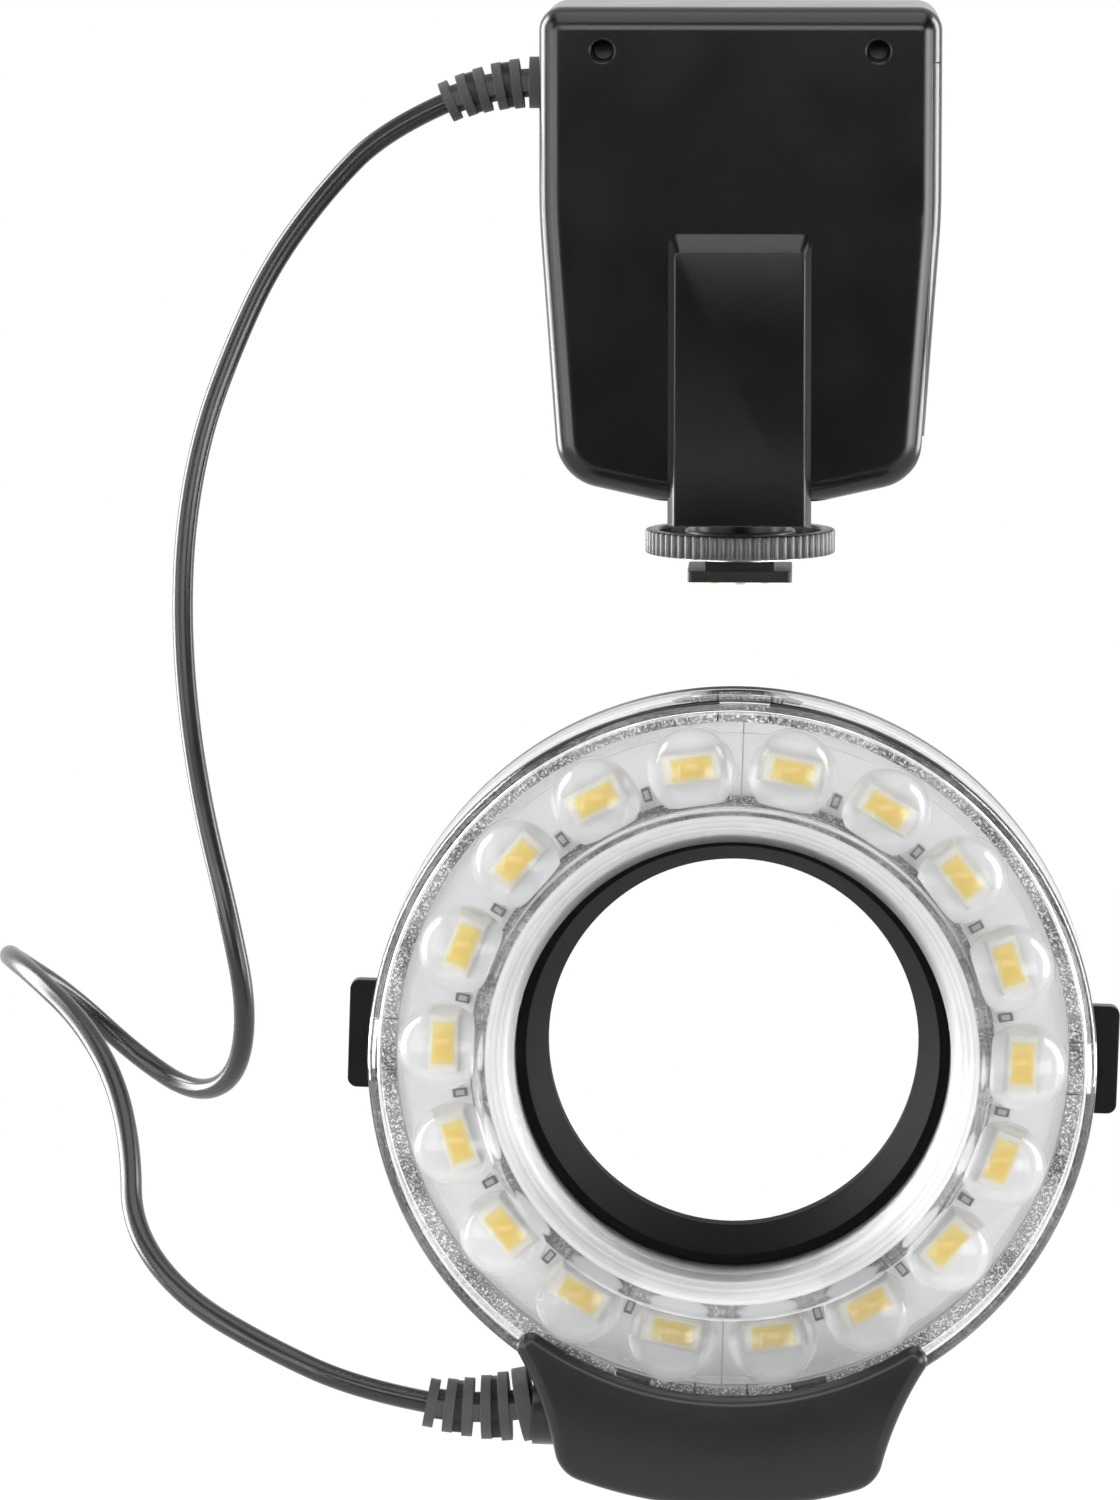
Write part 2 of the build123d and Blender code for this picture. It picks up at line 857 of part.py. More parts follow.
def lock_wheel():
    """The knurled lock wheel: a hub on the stem, a thin web and a deep toothed rim."""
    root = wheel_radius - wheel_tooth_depth
    tooth = math.pi * root / wheel_teeth / 2
    outline = Circle(root) + PolarLocations(root, wheel_teeth) * Circle(tooth)
    bore = Circle(stem_radius + turn_gap)
    wheel = extrude(Pos(0, 0, wheel_low_z) * (outline - bore), amount=wheel_height)
    trough = Circle(wheel_radius - wheel_rim) - Circle(stem_radius + wheel_hub)
    return wheel - extrude(Pos(0, 0, wheel_low_z + wheel_web) * trough, amount=wheel_height)


def strain_relief(start, heading, bend, collar_radius, tip_radius, collar):
    """A notched relief that starts at a wall and curves in the X-Z plane, and its outer end.

    heading is the first direction's angle below -X and bend the angle that it turns down by.
    Slots lie between round discs, and pairs of bridges join the discs crosswise in turn.
    """
    pitch = relief_disc + relief_slot
    length = collar + relief_count * pitch
    first = math.radians(heading)
    arc = length / math.radians(bend)
    core = cord_radius + relief_core_margin

    def place(s):
        """Plane across the relief at arc length s: its z looks along the cord."""
        angle = first + s / arc
        x = start[0] - arc * (math.sin(angle) - math.sin(first))
        z = start[2] - arc * (math.cos(first) - math.cos(angle))
        normal = (-math.cos(angle), 0, -math.sin(angle))
        return Plane(origin=(x, start[1], z), x_dir=(0, 1, 0), z_dir=normal)

    relief = extrude(place(0) * Circle(collar_radius), amount=collar)
    relief += extrude(place(0) * Circle(core), amount=-relief_plug_length)
    for index in range(relief_count):
        disc_end = collar + (index + 1) * pitch
        radius = collar_radius + (tip_radius - collar_radius) * (index + 1) / relief_count
        relief += extrude(place(disc_end) * Circle(radius), amount=-relief_disc)
        slot_middle = disc_end - relief_disc - relief_slot / 2
        across = Rectangle(2 * radius, relief_bridge)
        if index % 2:
            across = Rectangle(relief_bridge, 2 * radius)
        bridge = (across & Circle(radius - relief_bridge_inset)) + Circle(core)
        relief += extrude(place(slot_middle) * bridge, amount=pitch / 2, both=True)
    return relief, place(length)


def upper_relief():
    start = (-body_width / 2, split_y, upper_relief_z)
    return strain_relief(
        start,
        0,
        upper_relief_bend,
        upper_relief_collar_radius,
        upper_relief_tip_radius,
        upper_relief_collar,
    )


def lower_relief():
    """The relief at the ring, in the ring's own frame."""
    x, z = below_ring(lower_relief_out, lower_relief_angle)
    start = (-x, housing_split_y, z)
    return strain_relief(
        start,
        lower_relief_dip,
        lower_relief_bend,
        lower_relief_collar_radius,
        lower_relief_tip_radius,
        lower_relief_collar,
    )


def cord_route(upper_end, lower_end):
    """The cord's points: out of the upper relief, along its chosen points, into the lower one."""
    first = upper_end.origin
    last = lower_end.origin
    out = first + upper_end.z_dir * cord_end_run
    back = last + lower_end.z_dir * cord_end_run
    return [first, out] + [Vector(*point) for point in cord_middle] + [back, last]


def cord(points):
    """The cord: straight runs joined by tangent arcs as large as the runs allow."""
    runs = [(b - a).length for a, b in zip(points, points[1:])]
    radii = []
    for index in range(1, len(points) - 1):
        before = points[index] - points[index - 1]
        after = points[index + 1] - points[index]
        turn = math.radians(before.get_angle(after))
        radii.append(cord_arc_share * min(runs[index - 1], runs[index]) / math.tan(turn / 2))
    print("cord radii", [round(radius, 1) for radius in radii])
    path = FilletPolyline(*points, radius=radii)
    start = Plane(origin=points[0], z_dir=points[1] - points[0])
    tube = sweep(start * Circle(cord_radius), path=path)
    section = math.pi * cord_radius**2
    share = tube.volume / section / path.length
    print("cord length", round(path.length, 1), "volume share", round(share, 4))
    return tube


def ring_cover():
    """The clear cover: outer wall with windows for the hooks, flat front and a cone into the bore."""
    inner_front = ring_front_y + cover_wall
    cone_top = bore_radius + cover_cone_width
    cone_end = ring_front_y + cover_cone_depth
    slant = cover_wall / 2
    profile = [
        (ring_radius, floor_front_y),
        (ring_radius, ring_front_y),
        (cone_top, ring_front_y),
        (bore_radius, cone_end),
        (bore_radius, cover_back_y),
        (bore_radius + cover_wall, cover_back_y),
        (bore_radius + cover_wall, cone_end + slant),
        (cone_top + slant, inner_front),
        (ring_radius - cover_wall, inner_front),
        (ring_radius - cover_wall, floor_front_y),
    ]
    cover = turned(profile)
    cover = fillet(circle_edges(cover, ring_radius, ring_front_y), cover_edge_radius)
    window = Rectangle(finger_width + 2 * joint_gap, 3 * cover_wall)
    front = hook_front_y - joint_gap
    back = hook_front_y + hook_length + joint_gap
    for cut in on_circle(window, ring_radius, front, back, finger_angles()):
        cover -= cut
    return cover


def finger_angles():
    """Angles of the snap fingers about the lens axis, the first at the top."""
    return [top_angle + index * 360 / finger_count for index in range(finger_count)]


def led_angles():
    """Angles of the lights about the lens axis, with the top between two of them."""
    pitch = 360 / led_count
    return [top_angle - pitch / 2 - index * pitch for index in range(led_count)]


def lens_plate():
    """The scalloped lens plate, with a dome over each light."""
    discs = PolarLocations(led_circle_radius, led_count, start_angle=led_angles()[0])
    outline = Circle(lens_outer) - Circle(lens_inner) + discs * Circle(scallop_radius)
    plate = slab(outline, lens_front_y, lens_back_y)
    for angle in led_angles():
        x = led_circle_radius * math.cos(math.radians(angle))
        z = led_circle_radius * math.sin(math.radians(angle))
        ball = Pos(x, lens_front_y + dome_sink, z) * Sphere(dome_radius)
        keep = rod(dome_radius, lens_front_y - dome_radius, lens_front_y, x, z)
        plate += ball & keep
    return plate


def led_boards():
    """The two half-ring boards, parted at the top and the bottom."""
    ring = Circle(led_board_outer) - Circle(led_board_inner)
    seam = Rectangle(led_board_seam, 3 * led_board_outer)
    back = led_board_front_y + board_thickness
    boards = slab(ring - seam, led_board_front_y, back)
    return boards.solids().sort_by(Axis.X)


def on_circle(sketch, radius, front, back, angles):
    """Copies of a small sketch on a circle about the lens axis, its x along the circle's tangent."""
    pieces = []
    for angle in angles:
        x = radius * math.cos(math.radians(angle))
        z = radius * math.sin(math.radians(angle))
        pieces.append(slab(Pos(x, z) * Rot(0, 0, angle + 90) * sketch, front, back))
    return pieces


def led_packages():
    body = Rectangle(led_length, led_width)
    front = led_board_front_y - led_height
    return on_circle(body, led_circle_radius, front, led_board_front_y, led_angles())


def led_phosphors():
    body = RectangleRounded(phosphor_length, phosphor_width, phosphor_height)
    back = led_board_front_y - led_height
    return on_circle(body, led_circle_radius, back - phosphor_height, back, led_angles())


def chip_resistors():
    """A resistor between each two lights but those that the boards' seams part."""
    pitch = 360 / led_count
    between = [angle + pitch / 2 for angle in led_angles()]
    angles = [a for a in between if abs(a % 180 - top_angle) > near]
    body = Rectangle(resistor_width, resistor_length)
    front = led_board_front_y - resistor_height
    return on_circle(body, resistor_circle_radius, front, led_board_front_y, angles)


def ring_chassis():
    """The frame inside the ring: a floor, two ribs under the boards, a snap rim and a ledge."""
    chassis = slab(Circle(ring_radius) - Circle(floor_inner), floor_front_y, cover_back_y)
    board_back = led_board_front_y + board_thickness
    for radius in (bore_radius + rib_inner_inset, ring_radius - rib_outer_inset):
        rib = Circle(radius + rib_width) - Circle(radius)
        chassis += slab(rib, board_back, floor_front_y)
    rim = Circle(rim_outer) - Circle(rim_outer - rim_outer_width)
    chassis += slab(rim, rim_front_y, floor_front_y)
    spigot = Circle(floor_inner + spigot_width) - Circle(floor_inner)
    chassis += slab(spigot, lens_back_y, floor_front_y)
    ledge = Circle(lens_inner + spigot_width) - Circle(floor_inner)
    chassis += slab(ledge, lens_back_y, lens_back_y + chassis_thickness / 2)
    for hook in snap_hooks():
        chassis += hook
    for cut in chassis_cuts():
        chassis -= cut
    return chassis


def snap_hooks():
    """The hooks of the snap fingers, which stand out of the rim."""
    root = rim_outer - rim_outer_width / 2
    height = rim_outer + hook_reach - root
    hook = Pos(0, -height / 2) * Rectangle(finger_width, height)
    return on_circle(hook, root, hook_front_y, hook_front_y + hook_length, finger_angles())


def chassis_cuts():
    """The slits beside each snap finger, the slots for the wires and the screws' holes."""
    rim_middle = rim_outer - rim_outer_width / 2
    long_side = 2 * rim_outer_width
    slit = Rectangle(finger_slit, long_side)
    side = (finger_width + finger_slit) / 2
    slits = Pos(-side, 0) * slit + Pos(side, 0) * slit
    cuts = on_circle(slits, rim_middle, rim_front_y - overrun, floor_front_y, finger_angles())
    slot = Rectangle(wire_slot_width, rim_outer_width)
    angles = [-top_angle - wire_slot_angle, -top_angle + wire_slot_angle]
    cuts += on_circle(slot, rim_middle, rim_front_y - overrun, cover_back_y + overrun, angles)
    for x, z in ring_screw_places():
        cuts.append(rod(screw_radius, floor_front_y - near, cover_back_y + near, x, z))
    return cuts


def reflector():
    """The pale cone that stands on the chassis and lines the cover's cone."""
    slope = cover_cone_depth / cover_cone_width
    knee_y = ring_front_y + cover_cone_depth + cover_wall / 2 + reflector_gap
    front_y = knee_y - reflector_run * slope
    outer = floor_inner + spigot_width
    profile = [
        (floor_inner, lens_back_y),
        (floor_inner, knee_y),
        (floor_inner + reflector_run, front_y),
        (floor_inner + reflector_run + reflector_edge, front_y),
        (outer, knee_y + (reflector_edge - spigot_width) * slope),
        (outer, lens_back_y),
    ]
    return turned(profile)


def ring_rear_cover():
    """The back of the ring: a plate, its rims and the slots of the two release sliders."""
    floor = ring_back_y - rear_plate
    plate = slab(Circle(ring_radius) - Circle(bore_radius), floor, ring_back_y)
    cover = fillet(circle_edges(plate, ring_radius, ring_back_y), rear_edge_radius)
    for radius in (ring_radius, bore_radius + cover_wall):
        rim = Circle(radius) - Circle(radius - cover_wall)
        cover += slab(rim, cover_back_y, floor)
    for x, z in ring_screw_places():
        cover += rod(screw_head_radius + wall / 2, cover_back_y, floor, x, z)
        cover -= rod(screw_radius, cover_back_y - overrun, ring_back_y + overrun, x, z)
    front = cover_back_y - joint_gap
    half = tab_height / 2 + slide_gap
    for side in (-1, 1):
        low, high = sorted((side * (ring_radius - 2 * wall), side * (ring_radius + overrun)))
        cover -= block(low, high, front, floor, -half, half)
        low, high = sorted((side * (bore_radius - wall), side * (bore_radius + 2 * wall)))
        catch = catch_width / 2 + slide_gap
        cover -= block(low, high, front, floor, -catch, catch)
    return cover


def ring_screw_places():
    """Place (x, z) of each screw in the back of the ring."""
    step = 360 / ring_screw_count
    angles = [math.radians(ring_screw_start + index * step) for index in range(ring_screw_count)]
    radius = ring_screw_circle_radius
    return [(radius * math.cos(angle), radius * math.sin(angle)) for angle in angles]


def ring_screws():
    """Screws through the rear cover into the chassis, with flat crossed heads."""
    screws = []
    head_back = ring_back_y + screw_head_height / 2
    for x, z in ring_screw_places():
        shank = rod(screw_radius, floor_front_y, ring_back_y, x, z)
        screw = shank + rod(screw_head_radius, ring_back_y, head_back, x, z)
        screws.append(screw - slab(Pos(x, z) * cross_slot(), ring_back_y, head_back + overrun))
    return screws


def release_slider(side):
    """A release button, its band round the bore and its catch on the far side.

    side is -1 for the left button and 1 for the right one. The two bands lie one behind the other.
    """
    layer_front = cover_back_y + joint_gap + (slider_thickness + joint_gap if side > 0 else 0)
    layer_back = layer_front + slider_thickness
    band = Circle(slider_band_outer) - Circle(slider_band_inner)
    slider = slab(band, layer_front, layer_back)
    half = slider_arm_width / 2
    low, high = sorted((side * (slider_band_outer - wall), side * (ring_radius - wall)))
    slider += block(low, high, layer_front, layer_back, -half, half)
    tab_front = cover_back_y + joint_gap
    tab_back = tab_front + tab_thickness
    reach = ring_radius + slider_travel + tab_pressed_proud
    shape = Rectangle(reach - ring_radius + wall, tab_height)
    middle = side * (reach + ring_radius - wall) / 2
    tab = slab(Pos(middle, 0) * shape, tab_front, tab_back)
    ends = tab.edges().filter_by(Axis.Y).group_by(Axis.X)[-1 if side > 0 else 0]
    slider += fillet(ends, tab_corner)
    low, high = sorted((-side * catch_tip, -side * (slider_band_inner + wall)))
    half = catch_width / 2
    slider += block(low, high, layer_front, layer_back, -half, half)
    return slider


def adapter_ring():
    """The lens adapter: a grooved collar in the bore and a threaded end for the lens."""
    outer = bore_radius - adapter_fit
    groove_front = cover_back_y - joint_gap
    groove_back = ring_back_y - rear_plate + joint_gap
    bottom = outer - adapter_groove_depth
    thread_end = ring_back_y + thread_length
    profile = [
        (outer, adapter_front_y),
        (outer, groove_front),
        (bottom, groove_front),
        (bottom, groove_back),
        (outer, groove_back),
        (outer, ring_back_y),
        (thread_radius, ring_back_y),
        (thread_radius, thread_end),
        (adapter_bore, thread_end),
        (adapter_bore, ring_back_y),
        (outer - adapter_wall / 2, adapter_front_y),
    ]
    return turned(profile)


def housing_outline():
    """The lower housing seen from the front: horns beside the ring, waists and a round chin."""
    chin_x, chin_z = below_ring(housing_depth, housing_chin_angle)
    waist_x, waist_z = below_ring(housing_waist_out, housing_waist_angle)
    tip_x, tip_z = below_ring(-housing_tip_inset, housing_tip_angle)
    mouth_x = tip_x - housing_horn_width
    mouth_z = -math.sqrt(housing_mouth**2 - mouth_x**2)
    chin_ends = [(-chin_x, chin_z), (chin_x, chin_z)]
    mouth_ends = [(-mouth_x, mouth_z), (mouth_x, mouth_z)]
    edges = [
        ThreePointArc(chin_ends[0], (0, -housing_radius), chin_ends[1]),
        ThreePointArc(mouth_ends[0], (0, -housing_mouth), mouth_ends[1]),
    ]
    for side in (-1, 1):
        chin = (side * chin_x, chin_z)
        waist = (side * waist_x, waist_z)
        tip = (side * tip_x, tip_z)
        edges.append(ThreePointArc(chin, waist, tip))
        edges.append(Line(tip, (side * mouth_x, mouth_z)))
    outline = make_face(edges)
    outline = fillet(corner_vertices(outline, chin_x, chin_z), housing_chin_radius)
    outline = fillet(corner_vertices(outline, tip_x, tip_z), housing_tip_radius)
    return fillet(corner_vertices(outline, mouth_x, mouth_z), housing_tip_radius)


def housing_crown():
    """A ring with a crowned front, which gives the lower housing its rounded face."""
    crown_circle = ring_radius + housing_crown_out
    depth = housing_back_y - housing_front_y
    ball = Pos(crown_circle, housing_front_y + housing_crown_radius) * Circle(housing_crown_radius)
    keep = Pos(crown_circle, housing_front_y + depth / 2) * Rectangle(crown_circle, depth)
    return revolve(ball & keep, Axis.Y)


def housings():
    """Front and rear half of the lower housing, with the room for the driver board."""
    solid = slab(housing_outline(), housing_front_y, housing_back_y) & housing_crown()
    front_face = solid.faces().sort_by(Axis.Y)[0]
    solid = fillet(front_face.edges(), housing_edge_round)
    x, z = below_ring(lower_relief_out, lower_relief_angle)
    gland = Plane(origin=(-x, housing_split_y, z), z_dir=(1, 0, 0))
    solid += extrude(gland * Circle(gland_radius), amount=gland_length)
    solid -= rod(ring_radius + housing_ring_gap, ring_front_y - housing_ring_gap, housing_back_y + overrun)
    solid -= block(
        -housing_room_half,
        housing_room_half,
        housing_front_y + housing_wall,
        housing_back_y - housing_wall,
        housing_room_bottom,
        housing_room_top,
    )
    relief, end = lower_relief()
    solid -= relief
    far = housing_radius * 2
    front = solid & block(-far, far, -2 * far, housing_split_y, -far, far)
    rear = solid & block(-far, far, housing_split_y, far, -far, far)
    return front, rear


def driver_board():
    """The board in the lower housing that joins the cord to the lights."""
    z_low, z_high = housing_room_bottom, housing_room_top
    back = housing_back_y - housing_wall
    return block(-driver_board_half, driver_board_half, back - board_thickness, back, z_low, z_high)


def cord_connector():
    """The plug of the cord's wires on the driver board."""
    back = housing_back_y - housing_wall - board_thickness
    front = back - connector_height
    middle = (housing_room_bottom + housing_room_top) / 2
    half = connector_height / 2
    x_low = -driver_board_half
    return block(x_low, x_low + connector_width, front, back, middle - half, middle + half)


def save(name, shape):
    """Writes one node as a STEP file, a list of solids as one group."""
    solids = list(shape) if isinstance(shape, list) else shape.solids()
    pieces = [solid for piece in solids for solid in piece.solids()]
    whole = pieces[0] if len(pieces) == 1 else Compound(children=pieces)
    whole.label = name
    export_step(whole, os.path.join("parts", name + ".step"))


def build():
    os.makedirs("parts", exist_ok=True)
    body = body_solid()
    front, rear = shells()
    save("front_shell", front)
    save("rear_shell", rear)
    save("case_screws", case_screws())
    save("battery_door", battery_door(body))
    save("battery_holder", battery_holder())
    save("battery_cells", battery_cells())
    save("battery_contacts", battery_contacts())
    save("main_board", main_board())
    save("capacitors", capacitors())
    save("power_coil", power_coil())
    save("control_chip", control_chip())
    save("key_board", key_board())
    save("key_switches", key_switches())
    for name, x, z in key_places():
        save(name, key_cap(x, z))
    save("display_module", display_module())
    save("display_window", display_window())
    save("pedestal", pedestal())
    save("shoe_foot", shoe_foot())
    save("contact_pins", contact_pins())
    save("lock_pin", lock_pin())
    save("clamp_plate", clamp_plate())
    save("lock_wheel", lock_wheel())

    upper, upper_end = upper_relief()
    save("upper_strain_relief", upper)
    lower, lower_end = lower_relief()
    save("lower_strain_relief", in_place(lower))

    save("ring_cover", in_place(ring_cover()))
    save("lens_plate", in_place(lens_plate()))
    left_board, right_board = led_boards()
    save("left_led_board", in_place(left_board))
    save("right_led_board", in_place(right_board))
    save("led_packages", [in_place(piece) for piece in led_packages()])
    save("led_phosphors", [in_place(piece) for piece in led_phosphors()])
    save("chip_resistors", [in_place(piece) for piece in chip_resistors()])
    save("ring_chassis", in_place(ring_chassis()))
    save("reflector", in_place(reflector()))
    save("ring_rear_cover", in_place(ring_rear_cover()))
    save("ring_screws", [in_place(piece) for piece in ring_screws()])
    save("left_release_slider", in_place(release_slider(-1)))
    save("right_release_slider", in_place(release_slider(1)))
    save("adapter_ring", in_place(adapter_ring()))
    housing_front, housing_rear = housings()
    save("housing_front", in_place(housing_front))
    save("housing_rear", in_place(housing_rear))
    save("driver_board", in_place(driver_board()))
    save("cord_connector", in_place(cord_connector()))

    ring_place = Location((0, 0, ring_z), (0, ring_roll, 0))
    lower_world = Plane(ring_place * lower_end.location)
    points = cord_route(upper_end, lower_world)
    save("cord", cord(points))


build()
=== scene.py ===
import json
import math

import bmesh
import bpy
from mathutils import Matrix, Vector


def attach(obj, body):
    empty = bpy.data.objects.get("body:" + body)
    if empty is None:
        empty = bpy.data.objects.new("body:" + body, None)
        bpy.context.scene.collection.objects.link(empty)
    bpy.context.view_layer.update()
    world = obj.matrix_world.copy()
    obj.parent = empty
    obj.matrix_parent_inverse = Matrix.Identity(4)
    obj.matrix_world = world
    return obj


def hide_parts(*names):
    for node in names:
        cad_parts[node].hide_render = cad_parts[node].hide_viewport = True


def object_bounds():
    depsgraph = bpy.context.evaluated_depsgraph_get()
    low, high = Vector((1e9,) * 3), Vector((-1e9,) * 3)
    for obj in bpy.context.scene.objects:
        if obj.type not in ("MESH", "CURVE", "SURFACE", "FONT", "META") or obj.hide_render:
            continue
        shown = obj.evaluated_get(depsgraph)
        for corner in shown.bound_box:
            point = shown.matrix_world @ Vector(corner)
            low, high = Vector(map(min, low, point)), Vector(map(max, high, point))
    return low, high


# The finish of a macro ring flash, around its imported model. Lengths are in metres, +Z is up and the
# light shines towards -Y.

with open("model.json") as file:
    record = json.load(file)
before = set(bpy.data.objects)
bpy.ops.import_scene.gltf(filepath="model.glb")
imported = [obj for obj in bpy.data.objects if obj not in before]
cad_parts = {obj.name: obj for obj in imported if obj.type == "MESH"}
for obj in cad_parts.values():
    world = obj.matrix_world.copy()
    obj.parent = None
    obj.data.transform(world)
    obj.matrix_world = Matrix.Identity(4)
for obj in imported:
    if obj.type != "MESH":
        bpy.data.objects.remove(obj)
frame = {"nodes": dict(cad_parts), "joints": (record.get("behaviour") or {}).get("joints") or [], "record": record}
cad_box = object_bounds()
mm = 0.001

# Camera at the photograph's viewing angle
photo_height = 1500
focal_pixels = 8400
sensor_millimetres = 36.0
camera_place = (0.014, -1.5, 0.1498)
camera_pitch = math.radians(6.88)
camera_yaw = math.radians(1.769)

# The ring head's place and its main sizes
ring_joint = next(joint for joint in frame["joints"] if joint["name"] == "adapter_turn")
ring_z = ring_joint["pos_m"][2]
ring_roll = math.radians(1.8)
ring_place = Matrix.Translation((0, 0, ring_z)) @ Matrix.Rotation(ring_roll, 4, "Y")
ring_front_y = -125.0 * mm
ring_radius = 60.5 * mm
bore_radius = 36.4 * mm
floor_front_y = -106.8 * mm
bore_back_y = -105.6 * mm
round_steps = 360

# Edges: where a surface counts as sharp, and how finely an edge is rounded
sharp_degrees = 35
lens_sharp_degrees = 25
rounding_segments = 3
weld_distance = mm / 1000
pedestal_edge = 0.4 * mm

# The clear cover
cover_wall = 1.8 * mm
cover_edge_radius = 2.4 * mm
cover_cone = 6.0 * mm
cover_corner = 0.6 * mm
cover_knee = 1.2 * mm
window_count = 4
window_width = 8.6 * mm
window_front_y = -112.7 * mm
window_back_y = -110.5 * mm

# The pale cone behind the cover's cone
cone_inner = bore_radius + cover_wall + 0.1 * mm
cone_wall = 1.6 * mm
cone_reach = 2.4 * mm
cone_edge = 1.0 * mm
cone_gap = 0.1 * mm

# The lens plate and the lights behind it
led_count = 18
led_circle_radius = (ring_radius + bore_radius) / 2
dome_radius = 7.45 * mm
dome_base_radius = 7.4 * mm
dome_gap = 0.4 * mm
dome_steps = 72
dome_rings = 20
scallop_radius = 7.7 * mm
steps_per_light = 48
lens_outer = ring_radius - 6.1 * mm
lens_inner = bore_radius + 5.8 * mm
lens_thickness = 1.2 * mm
dome_sink = math.sqrt(dome_radius**2 - dome_base_radius**2)
lens_front_y = ring_front_y + cover_wall + dome_gap + dome_radius - dome_sink
lens_back_y = lens_front_y + lens_thickness
led_board_front_y = lens_back_y + 1.9 * mm
led_board_thickness = 1.6 * mm
led_board_outer = ring_radius - cover_wall - 2.6 * mm
led_board_inner = cone_inner + cone_wall + 0.2 * mm
led_board_seam = 0.12 * mm
led_board_steps = 180
led_size = (5.7 * mm, 3.0 * mm, 0.8 * mm)
led_corner = 0.18 * mm
phosphor_size = (4.3 * mm, 2.3 * mm, 0.12 * mm)
phosphor_corner = phosphor_size[2] / 2.5
resistor_size = (1.4 * mm, 2.4 * mm, 0.6 * mm)
resistor_corner = resistor_size[2] / 8
resistor_circle_radius = bore_radius + 9.6 * mm

# The lock wheel
wheel_low_z = 4.6 * mm
wheel_height = 4.2 * mm
wheel_radius = 17.0 * mm
wheel_rim = 2.5 * mm
wheel_web = 1.3 * mm
wheel_bore_radius = 8.06 * mm
wheel_hub = 1.84 * mm
wheel_teeth = 64
wheel_tooth_depth = 0.55 * mm
wheel_tooth_roundness = 0.7
wheel_edge = 0.3 * mm
tooth_steps = 12

# The cord, from the upper strain relief to the lower one
cord_diameter = 3.7 * mm
cord_points = [
    (-0.05278, 0.002, 0.08483),
    (-0.06375, 0.002, 0.07995),
    (-0.0745, 0.0015, 0.069),
    (-0.084, 0.0, 0.056),
    (-0.0905, -0.002, 0.042),
    (-0.096, -0.005, 0.027),
    (-0.099, -0.0085, 0.0105),
    (-0.0995, -0.0125, -0.0065),
    (-0.098, -0.017, -0.024),
    (-0.0948, -0.0225, -0.041),
    (-0.0902, -0.027, -0.058),
    (-0.087, -0.0265, -0.075),
    (-0.0896, -0.018, -0.0885),
    (-0.098, -0.0053, -0.0935),
    (-0.1094, 0.0046, -0.088),
    (-0.1214, 0.0044, -0.0768),
    (-0.1305, -0.0068, -0.0685),
    (-0.13, -0.0237, -0.0653),
    (-0.1235, -0.0398, -0.067),
    (-0.1142, -0.0525, -0.073),
    (-0.1075, -0.0633, -0.0815),
    (-0.104, -0.074, -0.092),
    (-0.103, -0.086, -0.1035),
    (-0.0935, -0.099, -0.113),
    (-0.078, -0.1085, -0.12),
    (-0.06306, -0.113, -0.1258),
    (-0.05127, -0.113, -0.12805),
]


def add_camera():
    """The camera, at the photograph's viewing angle."""
    data = bpy.data.cameras.new("camera")
    data.sensor_width = sensor_millimetres
    data.lens = focal_pixels * sensor_millimetres / photo_height
    camera = bpy.data.objects.new("camera", data)
    camera.location = camera_place
    camera.rotation_euler = (math.pi / 2 - camera_pitch, 0, camera_yaw)
    bpy.context.scene.collection.objects.link(camera)
    bpy.context.scene.camera = camera


def add_cord(material):
    """One smooth spline through the route of the cord."""
    curve = bpy.data.curves.new("cord_sheath", "CURVE")
    curve.dimensions = "3D"
    spline = curve.splines.new("NURBS")
    spline.points.add(len(cord_points) - 1)
    for point, place in zip(spline.points, cord_points):
        point.co = (*place, 1)
    spline.order_u = 3
    spline.use_endpoint_u = True
    curve.resolution_u = 20
    curve.bevel_depth = cord_diameter / 2
    curve.bevel_resolution = 7
    curve.use_fill_caps = True
    cord = bpy.data.objects.new("cord_sheath", curve)
    bpy.context.scene.collection.objects.link(cord)
    curve.materials.append(material)
    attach(cord, "flash")
    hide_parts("cord")


